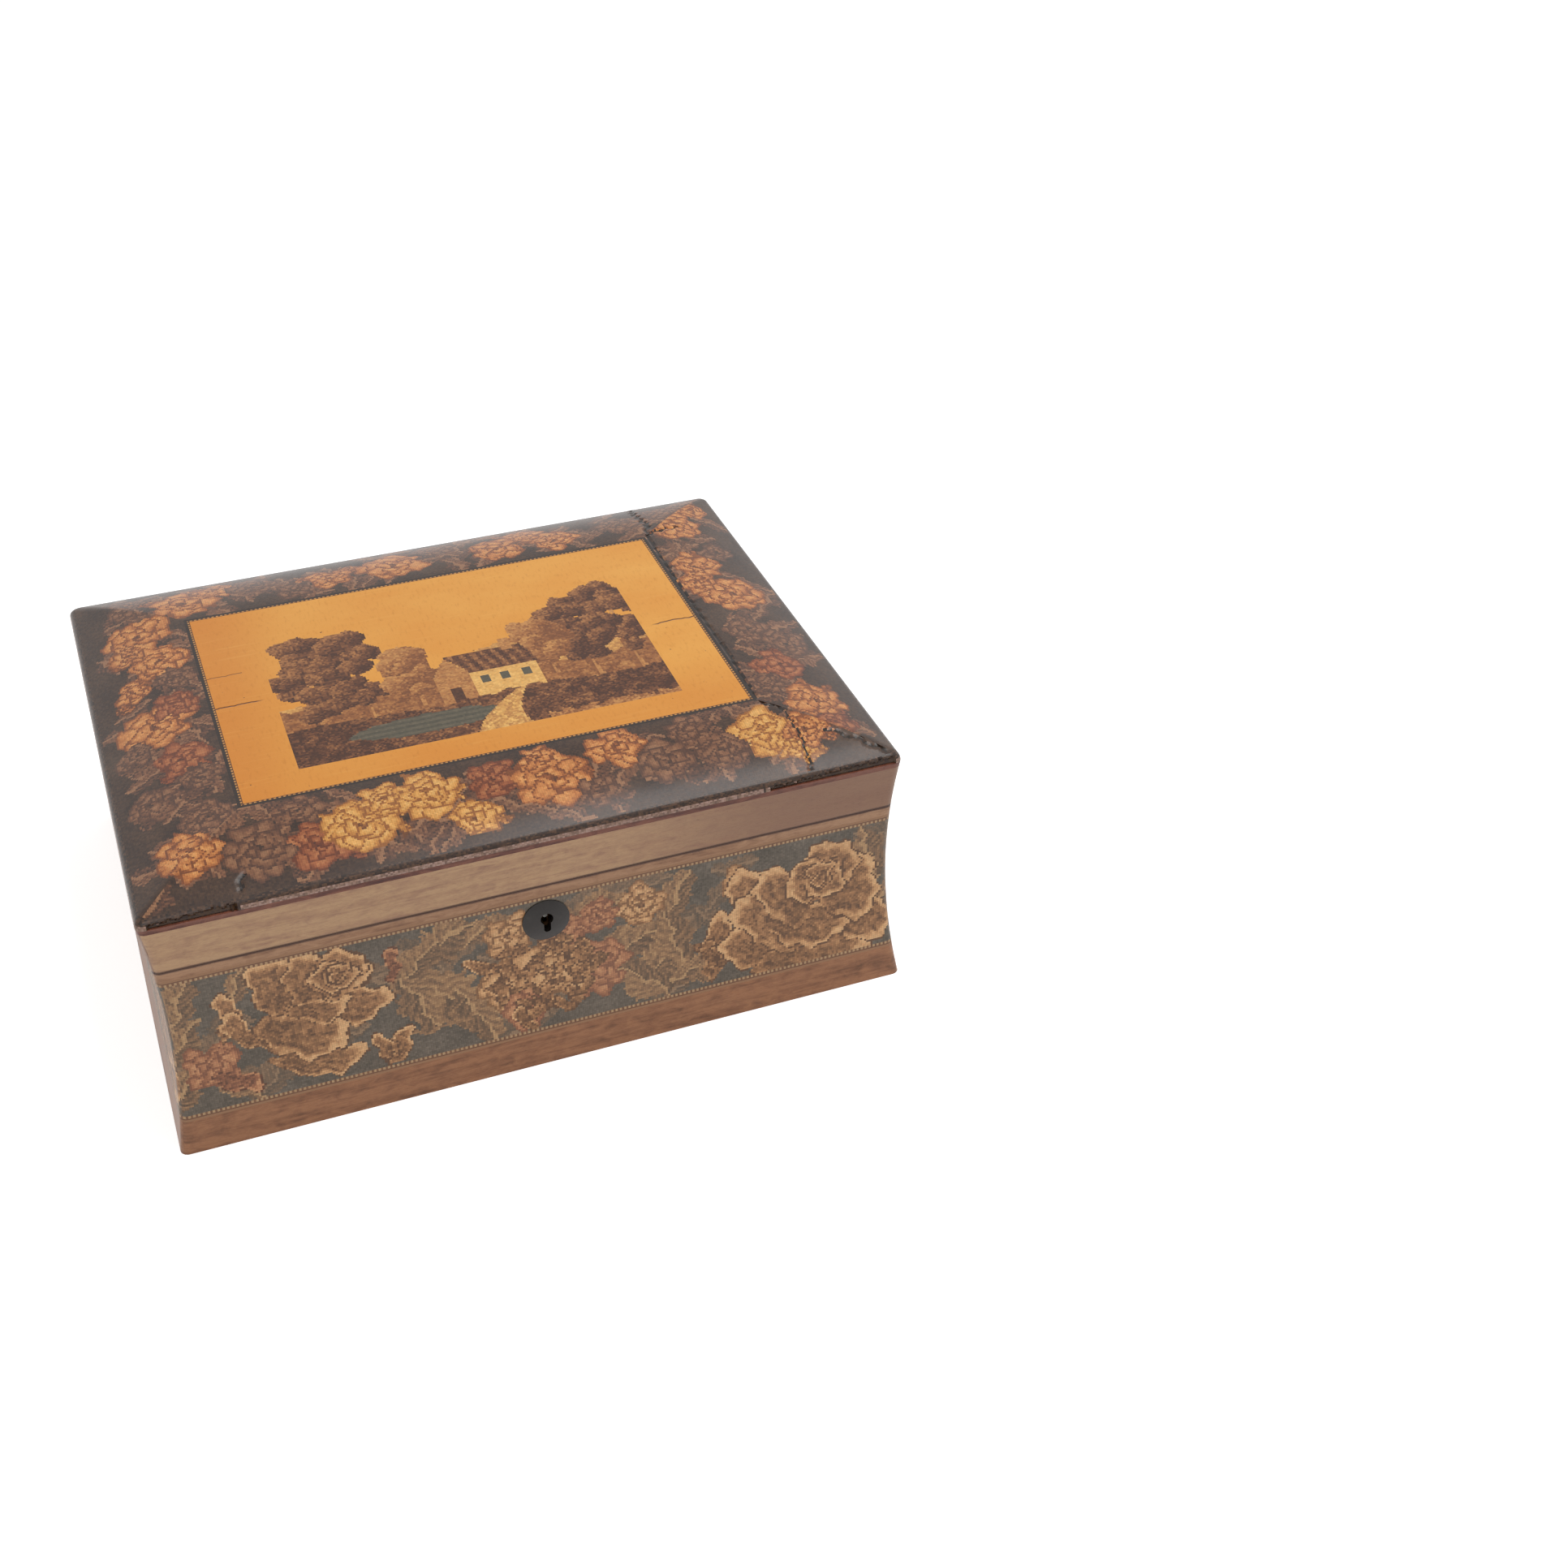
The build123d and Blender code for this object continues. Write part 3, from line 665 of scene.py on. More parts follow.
class Picture:
    """Colours of a field of tesserae, built up from flowers, leaves and shapes."""

    def __init__(self, x, y, ground, seed):
        self.x = x + 0.9 * np.sin(y / 1.9 + x / 5.3) + 0.5 * np.sin(y / 0.9 - x / 2.3)
        self.y = y + 0.9 * np.sin(x / 2.1 - y / 4.7) + 0.5 * np.sin(x / 1.1 + y / 2.9)
        self.dice = np.random.default_rng(seed)
        self.dither = self.dice.random(len(x)) - 0.5
        self.blotch = 0.7 * self.waves(4.6, 4) + 0.5 * self.waves(2.1, 9)
        self.colour = self.pick(ground, 0.5 + 0.35 * self.waves(14.0, 2) + 0.5 * self.dither)
        self.laid = np.zeros(len(x))

    def pick(self, woods, shade):
        """Colour from a row of woods, dark to light."""
        rows = hex_rows(*woods)
        place = np.clip(shade, 0, 1) * (len(rows) - 1)
        step = np.minimum(place.astype(int), len(rows) - 2)
        part = (place - step)[:, None]
        return rows[step] * (1 - part) + rows[step + 1] * part

    def waves(self, size, seed):
        """Smooth unevenness over the field, from -1 to 1."""
        total = np.zeros(len(self.x))
        for k in range(4):
            angle = 2.4 * k + seed
            run = self.x * math.cos(angle) + self.y * math.sin(angle)
            total += np.sin(run * 6.283 / (size * (1 + 0.37 * k)) + seed * 1.7 + k)
        return total / 4

    def lay(self, mask, woods, shade, grit=0.16):
        shade = np.broadcast_to(shade, self.x.shape) + grit * (self.dither * 2 + 0.9 * self.blotch)
        self.colour[mask] = self.pick(woods, shade)[mask]
        self.laid[mask] = 1.0

    def local(self, cx, cy, turn=0.0):
        dx = self.x - cx
        dy = self.y - cy
        c = math.cos(turn)
        s = math.sin(turn)
        return dx * c + dy * s, -dx * s + dy * c

    def petal(self, cx, cy, length, width, turn, woods, fold=0.0, rim=0.6):
        """Rounded petal: a light rim round a shaded cup, or with no rim a light, lobed middle."""
        a, b = self.local(cx, cy, turn)
        a = a / length
        b = (b - fold * length * a * a) / width
        shape = a * a + b * b * np.clip(1.25 - 0.45 * a, 0.75, 1.8)
        edge = np.clip((shape - 0.56) / 0.22, 0, 1) * np.clip(0.75 + 0.35 * a, 0.4, 1)
        hatch = 0.10 * np.sin(b * 15.0 + 3.0 * a) + 0.06 * np.sin(a * 19.0)
        cup = 0.24 + 0.14 * a + rim * edge + hatch
        lobe = 0.88 + 0.15 * a - 0.62 * shape ** 1.4
        self.lay(shape < 1.0, woods, cup if rim else lobe)
        line = woods[:2] if rim else woods[1:3]
        self.lay((shape >= 1.0) & (shape < 1.0 + 1.3 / length), line, 0.0)

    def blossom(self, cx, cy, r, woods, petals=5, turn=0.0):
        """Full open flower seen from above: three rings of uneven lobes round a dark heart."""
        for ring, count, reach, size in ((0, petals + 2, 0.66, 0.40), (1, petals, 0.42, 0.34),
                                         (2, 4, 0.18, 0.24)):
            for k in range(count):
                angle = turn + ring * 0.6 + 6.283 * (k + self.dice.uniform(-0.2, 0.2)) / count
                far = reach * r * self.dice.uniform(0.82, 1.12)
                lobe = size * r * self.dice.uniform(0.85, 1.2)
                self.petal(cx + math.cos(angle) * far, cy + math.sin(angle) * far, lobe * 1.1,
                           lobe, angle + self.dice.uniform(-0.5, 0.5), woods, rim=0)
        dx, dy = self.local(cx, cy)
        rho = np.hypot(dx, dy) / r
        self.lay(rho < 0.13, woods[:3], 0.35, 0.5)

    def rose(self, cx, cy, r, woods, petals, heart):
        """Full rose: cupped petals from back to front, then a rolled heart.

        Places and sizes are shares of the rose's radius."""
        for dx, dy, length, width, turn, fold in petals:
            self.petal(cx + dx * r, cy + dy * r, length * r, width * r, turn, woods, fold)
        hx, hy, size = heart
        for k, part in enumerate((1.0, 0.80, 0.62, 0.44, 0.26)):
            angle = 0.9 + 2.3 * k
            shift = 0.16 * size * part
            px = cx + (hx + shift * math.cos(angle)) * r
            py = cy + (hy + shift * math.sin(angle)) * r
            self.petal(px, py, size * part * r, size * part * 0.88 * r, angle, woods, rim=0.5)

    def leaf(self, cx, cy, length, width, turn, woods, bend=0.0):
        """Pointed leaf with a toothed edge, a rib and side veins."""
        a, b = self.local(cx, cy, turn)
        a = a / length
        b = (b - bend * length * (1 - a * a)) / width
        tooth = 1.0 + 0.10 * np.sin(a * 24.0)
        edge = np.clip(1 - a * a, 0, 1) ** 0.8 * tooth
        mask = (np.abs(b) < edge) & (np.abs(a) < 1)
        vein = np.sin((a * 1.0 - np.abs(b) * 0.55) * 22.0)
        shade = 0.34 + 0.22 * np.sign(b) * 0.6 + 0.20 * vein + 0.20 * np.abs(b)
        self.lay(mask, woods, shade)
        self.lay(mask & (np.abs(b) * width < 0.55), woods[-1:], 0.0)

    def stem(self, points, width, woods):
        """Thin stem through a few points."""
        self.lay(gap_to_line(self.x, self.y, points) < width, woods, 0.6)

    def spray(self, cx, cy, r, woods, count, seed):
        """Loose cluster of small buds and slips."""
        dice = np.random.default_rng(seed)
        for _ in range(count):
            angle = dice.uniform(0, 6.283)
            far = r * math.sqrt(dice.uniform(0, 1))
            size = dice.uniform(1.2, 2.6)
            self.petal(cx + math.cos(angle) * far, cy + math.sin(angle) * far * 0.8,
                       size * 1.6, size, dice.uniform(0, 6.283), woods, rim=0.25)


BAND_GROUND = ("#4f473d", "#5d5449", "#6b6054", "#796d60")
BAND_ROSE = ("#654834", "#866143", "#a57752", "#bf8f63", "#d3a273", "#dfb180")
BAND_LEAF = ("#5f4d3d", "#785e48", "#916f52", "#a6805c", "#b8926a")
BAND_SHADE = ("#5f5245", "#705d4b", "#836952", "#94785e")
BAND_RUST = ("#644232", "#855842", "#a26d4e", "#b9805c", "#c9936a")
LID_GROUND = ("#291a12", "#37241a", "#453022", "#533a2a")
LID_GOLD = ("#6a3d1e", "#935a2a", "#b67839", "#cd9048", "#d9a056", "#e2ae66")
LID_ORANGE = ("#56301b", "#7a4424", "#9c5b30", "#b8723d", "#ca864b", "#d7985a")
LID_RED = ("#4a2518", "#68341d", "#86482a", "#9e5c37", "#b17146")
LID_LEAF = ("#3b281e", "#523527", "#6a4531", "#80563c", "#92684a")

ROSE_LEFT = ((-0.98, 0.34, 0.42, 0.15, 1.5, 0.25), (-0.80, -0.05, 0.52, 0.16, 2.3, -0.2),
             (-0.36, 0.64, 0.50, 0.34, 1.7, 0.1), (-0.02, 0.66, 0.44, 0.26, 1.5, -0.2),
             (0.42, 0.62, 0.40, 0.42, 0.4, 0.0), (0.02, -0.72, 0.60, 0.24, -0.15, 0.25),
             (0.52, 0.04, 0.52, 0.30, -0.1, 0.15), (-0.16, -0.22, 0.62, 0.36, -0.45, 0.1),
             (0.10, 0.08, 0.40, 0.20, -0.2, 0.3))
ROSE_RIGHT = ((-0.72, -0.50, 0.44, 0.34, 2.6, 0.0), (0.10, -0.78, 0.80, 0.34, 0.05, -0.1),
              (0.78, -0.44, 0.50, 0.36, -0.6, 0.1), (-0.66, 0.18, 0.60, 0.32, 1.8, 0.1),
              (-0.40, -0.16, 0.66, 0.40, 2.3, 0.1), (0.00, -0.36, 0.70, 0.34, -0.3, 0.25),
              (0.62, 0.10, 0.40, 0.62, 0.2, 0.0), (-0.22, 0.16, 0.56, 0.34, 2.1, 0.1))


def paint_band(side):
    """Broad floral band of one side, seen from outside: roses, a middle spray, leaves."""
    squeeze = 1.0 if side in WIDE else RIM_D / RIM_W

    def paint(along, up):
        p = Picture(along / squeeze, up, BAND_GROUND, len(side))
        for k in range(40):
            p.leaf(-132 + 6.8 * k + p.dice.uniform(-4, 4), p.dice.uniform(2, 52),
                   p.dice.uniform(8, 14), p.dice.uniform(4, 7), p.dice.uniform(0, 6.283),
                   BAND_SHADE, p.dice.uniform(-0.1, 0.1))
        for cx, cy, length, width, turn in (
                (-122, 46, 13, 6, 1.3), (-124, 28, 12, 5, 1.0), (-126, 10, 12, 6, 0.9),
                (-108, 8, 10, 5, 2.4), (-104, 47, 10, 4, 1.2), (-36, 45, 14, 8, 0.6),
                (-46, 38, 12, 6, 0.9), (-36, 21, 18, 10, -0.8), (-46, 22, 14, 7, -1.2),
                (-27, 12, 14, 7, -1.1), (-20, 47, 10, 5, 0.4), (18, 45, 12, 7, 0.2),
                (30, 26, 14, 8, 0.3), (40, 14, 15, 8, 0.9), (47, 42, 13, 6, 1.2),
                (46, 24, 14, 7, 1.8), (34, 10, 13, 7, 2.4), (52, 8, 10, 6, 0.2),
                (120, 42, 13, 6, 1.9), (124, 16, 12, 6, 1.2), (116, 6, 12, 5, 0.3)):
            p.leaf(cx, cy, length, width, turn, BAND_LEAF, 0.06)
        p.stem(((-60, 12), (-40, 10), (-14, 16), (0, 22)), 0.7, BAND_LEAF)
        p.stem(((52, 4), (60, 16), (70, 34)), 0.7, BAND_LEAF)
        p.blossom(-116, 18, 8, BAND_RUST, 5, 0.3)
        p.petal(-109, 9, 9, 3.5, -0.5, BAND_RUST)
        p.rose(-82, 27, 26, BAND_ROSE, ROSE_LEFT, (0.42, 0.62, 0.36))
        p.petal(-59, 8, 6, 3.5, 1.9, BAND_ROSE)
        p.petal(-54, 7, 7.5, 4.0, 1.2, BAND_ROSE)
        p.petal(-53, 42, 8, 2.6, 1.5, BAND_RUST)
        p.petal(68, 41, 9.5, 4.2, 1.6, BAND_ROSE, rim=0)
        p.petal(61, 16, 14, 5.5, 1.4, BAND_ROSE)
        p.spray(61, 14, 6, BAND_ROSE, 9, 5)
        p.rose(94, 26, 28, BAND_ROSE, ROSE_RIGHT, (0.24, 0.34, 0.50))
        p.blossom(-13, 43, 8, BAND_ROSE, 5, 0.4)
        p.petal(-24, 32, 6, 3.0, 2.9, BAND_ROSE)
        p.blossom(-15, 22, 10, BAND_ROSE, 6, 0.1)
        p.blossom(17, 20, 11, BAND_RUST, 6, 0.9)
        p.blossom(6, 37, 8, BAND_RUST, 5, 0.2)
        p.blossom(1, 24, 12, BAND_ROSE, 7, 0.5)
        p.blossom(-9, 9, 8, BAND_RUST, 5, 0.5)
        p.petal(-10, 5, 6, 3.0, 2.0, BAND_ROSE)
        p.spray(-2, 22, 20, BAND_ROSE, 46, 6)
        p.blossom(34, 43, 8, BAND_ROSE, 6, 0.2)
        p.blossom(19, 42, 6, BAND_RUST, 5, 0.8)
        return p.colour

    return paint


LID_FLOWERS = {
    "front": ((-69, 14, 9, 2), (-9, 26, 8, 2), (-55, 18, 11, 1), (-45, 27, 7, 1), (-31, 26, 10, 1),
              (-18, 11, 7, 1), (10.7, 21, 12.5, 0), (35.7, 29, 9, 0), (86, 22, 10.5, 1),
              (95, 12, 6, 1), (101, 18, 7, 0), (-110, 22, 10.5, 0), (50, 17, 9, 3), (70, 16, 8, 3),
              (-88, 17, 10, 3), (24, 10, 6, 3), (62, 30, 7, 3), (-72, 31, 7, 3), (8, 31, 6, 0)),
    "left": ((-61, 20, 12, 0), (-39, 26, 10, 0), (-50, 15, 6, 0), (-24, 14, 6, 0), (2.7, 19, 12, 0),
             (-8, 28, 7, 2), (27, 26, 9, 2), (47, 12, 8, 3), (79, 21, 10, 0), (-80, 20, 7, 3),
             (40, 30, 7, 3), (15, 10, 6, 3), (64, 28, 8, 3), (-25, 30, 6, 3)),
    "right": ((70, 23, 10, 0), (36, 26, 9, 0), (47, 14, 6, 3), (12, 20, 11.5, 0), (23, 30, 7, 0),
              (-68, 18, 10, 0), (-42, 22, 9, 2), (-15, 24, 8, 3), (86, 12, 7, 0), (-84, 16, 7, 2),
              (-26, 12, 8, 3), (-54, 31, 6, 3)),
    "back": ((89, 24, 12, 0), (76, 14, 7, 0), (33, 24, 8, 0), (9, 22, 12, 0), (-33, 24, 10, 0),
             (-57, 26, 9, 0), (-46, 14, 7, 0), (62, 16, 8, 3), (-84, 22, 8, 3), (-10, 12, 7, 3),
             (110, 14, 7, 3), (48, 30, 6, 3), (-105, 16, 8, 3)),
}
CRACKS = {
    "front": ((91.5, 38), (97, 30), (98.5, 15), (96.5, 0)),
    "right": ((69, 22), (66, 36.8), (20, 37.4), (-30, 36.9), (-63, 37.8)),
    "back": ((-95.5, 0), (-94.0, 14), (-94.8, 28), (-92.0, 38)),
}
CORNER_CRACK = ((108, 16), (118, 8), (125, 1))
NICK = ((-96, 3), (-94.5, 8))
CRACK_DARK = ("#17100c", "#241811")


def crack_gap(side, along, up):
    """Distance to the old cracks of one side of the lid, in millimetres."""
    gap = np.full(len(along), 1e3)
    lines = [CRACKS[side]] if side in CRACKS else []
    if side == "front":
        lines += [CORNER_CRACK, NICK]
    waver = 0.5 * np.sin(along * 0.9) + 0.5 * np.sin(up * 1.3)
    for line in lines:
        gap = np.minimum(gap, gap_to_line(along + waver, up + 0.4 * waver, line))
    return gap


def paint_border(side):
    """Floral border of the lid: open flowers among dim leaves on a charcoal ground."""
    woods = (LID_ORANGE, LID_GOLD, LID_RED, LID_LEAF)

    def paint(along, up):
        p = Picture(along, up, LID_GROUND, 10 + len(side))
        half = half_width(side)
        for place in np.arange(-half + 8, half - 8, 3.6):
            p.leaf(place, p.dice.uniform(5, 36), p.dice.uniform(6, 11), p.dice.uniform(3, 5),
                   p.dice.uniform(0, 6.283), LID_LEAF, p.dice.uniform(-0.1, 0.1))
        for cx, cy, r, wood in LID_FLOWERS[side]:
            p.spray(cx + r * 0.8, cy - 3, r * 0.6, woods[wood], 4, int(abs(cx) * 7 + r))
        for cx, cy, r, wood in LID_FLOWERS[side]:
            p.blossom(cx, cy, r, woods[wood], 5 + int(r) % 3, cx * 0.7)
        cracked = crack_gap(side, along, up) < CRACK_W
        p.lay(cracked, CRACK_DARK, 0.5)
        return p.colour

    return paint


PICTURE_SKY = ("#e2a351", "#e8a955", "#ecb161")
PICTURE_DARK = ("#472a1c", "#5a3623", "#6f452c", "#875836", "#a47044")
PICTURE_MID = ("#78492b", "#915c35", "#aa7242", "#c08950")
PICTURE_LIGHT = ("#b07a45", "#c68f50", "#d9a55c", "#e6b66c")
PICTURE_WATER = ("#4f4a3e", "#5c5546", "#6a604f")


def paint_view(x, y):
    """Generic country view: tall trees, a thatched cottage by a pond and far hills."""
    p = Picture(x, y, PICTURE_SKY, 77)
    rough = 2.2 * p.waves(9.0, 3) + 1.4 * p.waves(3.7, 5)
    hills = -2 + 7 * np.sin(x / 23.0 + 0.6) + 3 * np.sin(x / 9.0) + 0.5 * rough
    p.lay(y < hills, PICTURE_LIGHT, 0.30 + 0.25 * p.waves(7.0, 1), 0.3)
    far = -9 + 4 * np.sin(x / 15.0 + 2.0) + 0.6 * rough
    p.lay(y < far, PICTURE_MID, 0.35 + 0.30 * p.waves(6.0, 2), 0.3)

    def tree(cx, low, high, spread, seed, woods=PICTURE_DARK):
        dice = np.random.default_rng(seed)
        trunk = np.abs(x - cx - 1.2 * np.sin(y / 7.0)) < 1.6 - 0.02 * (y - low)
        p.lay(trunk & (y > low) & (y < high - 4), PICTURE_MID, 0.5 + 0.3 * np.sign(x - cx))
        for _ in range(26):
            a = dice.uniform(0, 6.283)
            far_out = math.sqrt(dice.uniform(0, 1))
            bx = cx + math.cos(a) * spread * far_out
            by = (high + low) / 2 + 6 + math.sin(a) * (high - low) * 0.40 * far_out
            r = dice.uniform(3.5, 6.5)
            gap = np.hypot(x - bx, y - by) + 0.6 * rough
            lit = np.clip(0.45 + 0.75 * ((y - by) - (x - bx)) / (2 * r), 0, 1)
            p.lay(gap < r, woods, lit * 0.95, 0.35)

    tree(-56, -34, 40, 11, 1)
    tree(-38, -30, 34, 10, 2)
    tree(-20, -24, 12, 8, 3, PICTURE_MID)
    tree(60, -30, 38, 9, 4)
    tree(44, -26, 30, 9, 5)
    tree(30, -20, 16, 7, 6, PICTURE_MID)
    wall = (x > 0) & (x < 25) & (y > -26) & (y < -8)
    p.lay(wall, PICTURE_LIGHT, 0.75 + 0.15 * p.waves(4.0, 4), 0.2)
    gable = (x > -13) & (x <= 0) & (y > -26) & (y < -8 + 12 * (1 - np.abs(x + 6.5) / 6.5))
    p.lay(gable, PICTURE_MID, 0.75, 0.25)
    roof = (x > -7) & (x < 27) & (y > -9) & (y < 5)
    roof &= (x - 27 < -(y + 9) * 0.35) & (x + 7 > (y - 4) * 0.2)
    roof &= ~((x < 0) & (y < 4 - (x + 6.5) * 1.6))
    p.lay(roof, PICTURE_DARK, 0.45 + 0.3 * np.sin(x * 1.6 + y * 0.4), 0.3)
    chimney = (np.abs(x - 17) < 1.8) & (y > 2) & (y < 10)
    p.lay(chimney, PICTURE_MID, 0.8)
    for wx in (5, 12, 20):
        p.lay((np.abs(x - wx) < 1.5) & (y > -17) & (y < -12), PICTURE_WATER, 0.3)
    p.lay((np.abs(x + 6.5) < 2.0) & (y > -26) & (y < -17), PICTURE_DARK, 0.1)
    ground = -25 + 1.5 * np.sin(x / 11.0) + 0.5 * rough
    p.lay(y < ground, PICTURE_DARK, 0.45 + 0.35 * p.waves(8.0, 6) - 0.004 * np.abs(x), 0.4)
    pond = ((x + 20) / 27) ** 2 + ((y + 35) / 6.0) ** 2 + 0.06 * rough < 1
    p.lay(pond, PICTURE_WATER, 0.4 + 0.4 * np.sin(y * 2.2), 0.2)
    path = np.abs(x - 14 - 10 * np.sin((y + 26) / 12.0)) < 1.5 + 0.35 * np.abs(y + 24)
    p.lay(path & (y < ground - 1), PICTURE_LIGHT, 0.45 + 0.3 * p.waves(3.0, 8), 0.4)
    p.lay((y < -44 + rough) & (x > 20), PICTURE_MID, 0.6, 0.4)
    return np.column_stack([p.colour, p.laid])


# User's sizes and colours

class WorkBoxSettings(bpy.types.PropertyGroup):
    floor_colour: bpy.props.FloatVectorProperty(
        name="Floor", description="Colour of the plain floor", subtype="COLOR", size=3,
        default=(0.93, 0.93, 0.93))
    silk_deep: bpy.props.FloatVectorProperty(
        name="Silk, deep", description="Darker colour of the padded silk", subtype="COLOR", size=3,
        default=(0.16, 0.035, 0.035))
    silk_light: bpy.props.FloatVectorProperty(
        name="Silk, light", description="Lighter colour of the padded silk", subtype="COLOR",
        size=3, default=(0.33, 0.09, 0.08))
    chip_depth: bpy.props.FloatProperty(
        name="Chip depth", description="How deep the lost edge veneer goes", unit="LENGTH",
        default=0.0009)
    lamp_power: bpy.props.FloatProperty(
        name="Lamp power", description="Power of the main soft lamp", unit="POWER", default=6.0)
    room_light: bpy.props.FloatProperty(
        name="Room light", description="Strength of the white room", default=0.47)


def settings():
    return bpy.context.scene.work_box


def four(colour):
    return (*colour, 1.0)


def bare_chip(along, up):
    """True where the rim's edge veneer is lost on the front, from millimetres along and up."""
    ragged = 1.2 * np.sin(along * 1.9) + 0.9 * np.sin(along * 4.3 + 1.0)
    fray = 0.35 * np.sin(along * 1.3) + 0.35 * np.sin(along * 3.1 + 2.0)
    left = (along > -126.5) & (along < -99.0 + ragged) & (up < 1.5 + 0.05 * (along + 126) + fray)
    right = (along > 80.0 + ragged) & (along < 127.0) & (up < 1.3 + 0.03 * (along - 80) + fray)
    return left | right


class WORKBOX_OT_mosaic_bands(bpy.types.Operator):
    """Broad floral mosaic bands on the four hollow sides"""
    bl_idname = "workbox.mosaic_bands"
    bl_label = "Mosaic bands"

    def execute(self, context):
        finish = mosaic_finish("band mosaic")
        low, high = span("mosaic_band_front", 2)
        rows = round((high - low) / TESSERA)
        for side in SIDES:
            columns = round((2 * half_width(side) + 2) / TESSERA)
            piece = skin("band_" + side, side, side_path(low, high, rows), VENEER, columns,
                         paint=paint_band(side))
            if side == "front":
                self.plate_seat(piece)
            give(piece, finish, "case", "mosaic", "mosaic_band_" + side)
        return {"FINISHED"}

    def plate_seat(self, piece):
        """Round seat for the keyhole plate."""
        low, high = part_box("escutcheon")
        place = ((low[0] + high[0]) / 2, low[1], (low[2] + high[2]) / 2)
        cut(piece, rod("seat_cutter", 64, (high[0] - low[0]) / 2, THROUGH * MM, place, UPRIGHT))


class WORKBOX_OT_cushion_borders(bpy.types.Operator):
    """Mitred floral borders on the lid's cushion slopes"""
    bl_idname = "workbox.cushion_borders"
    bl_label = "Cushion borders"

    def execute(self, context):
        finish = mosaic_finish("border mosaic", polish=0.10, rough=0.27)
        rows = round((BORDER - RIM_LINE_W + 2.0) / TESSERA)
        path = cushion_path(RIM_LINE_W, BORDER, rows)
        for side in SIDES:
            columns = round((2 * half_width(side) + 2) / TESSERA)
            piece = skin("border_" + side, side, path, TOP_VENEER, columns, paint_border(side),
                         wear=lambda a, u: CRACK_DEPTH * (crack_gap(side, a, u) < 0.6))
            give(piece, finish, "lid", "lid_mosaic", "cushion_mosaic_" + side)
        return {"FINISHED"}


class WORKBOX_OT_veneers(bpy.types.Operator):
    """Plain veneer strips: base, under the joint, and round the lid"""
    bl_idname = "workbox.veneers"
    bl_label = "Veneer strips"

    def execute(self, context):
        base = veneer_finish("base veneer", "#69452f", "#8b5e42", "#a06f4e")
        # The lines at 3.6 mm on the joint veneer and 0.1 mm on the lid veneer are painted shade
        # along the lid-case joint.
        upper = veneer_finish("joint veneer", "#7b5740", "#976f52", "#aa8263", lines=(3.6,))
        lid = veneer_finish("lid veneer", "#96705a", "#ab8566", "#b99470", tail="#84604d",
                            lines=(0.1,))
        rim = veneer_finish("rim line", "#3c1a14", "#5c3024", "#7d4c3b")
        for side in SIDES:
            low, high = span("base_veneer_front", 2)
            piece = skin("base_strip_" + side, side, side_path(low, high, 6), VENEER, STRIP_COLUMNS)
            trim(piece, (0, 0, low * MM), (0, 0, -1))
            give(piece, base, "case", "base_veneer", "base_veneer_" + side)
            low, high = span("lid_veneer_front", 2)
            piece = skin("lid_strip_" + side, side, side_path(low, high, 8), VENEER, STRIP_COLUMNS)
            if side == "back":
                self.hinge_notch(piece)
            give(piece, lid, "lid", "lid_veneer", "lid_veneer_" + side)
        for node, finish, body, slot_name in (("joint_strip", upper, "case", "base_veneer"),
                                              ("rim_line", rim, "lid", "rim_line")):
            low, high = span(node, 2)
            for side in SIDES:
                piece = skin(node + "_" + side, side, side_path(low, high, 3), VENEER,
                             STRIP_COLUMNS)
                trim(piece, (0, 0, high * MM), (0, 0, 1))
                if side == "back" and node == "joint_strip":
                    self.hinge_notch(piece)
                give(piece, finish, body, slot_name, *([node] if side == "front" else []))
        return {"FINISHED"}

    def hinge_notch(self, piece):
        """Room for both hinges' knuckles and leaves."""
        low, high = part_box("hinge_leaves_case")
        pin_low, pin_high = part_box("hinge_pins")
        length = HINGE_LENGTH * MM
        radius = (high[2] - low[2]) / 2 + HINGE_SPARE * MM
        for way in (-1, 1):
            place = (way * (high[0] - length / 2), (pin_low[1] + pin_high[1]) / 2,
                     (pin_low[2] + pin_high[2]) / 2)
            cut(piece, rod("notch_cutter", 48, radius, length + HINGE_PLAY * MM, place,
                           (0, math.pi / 2, 0)))


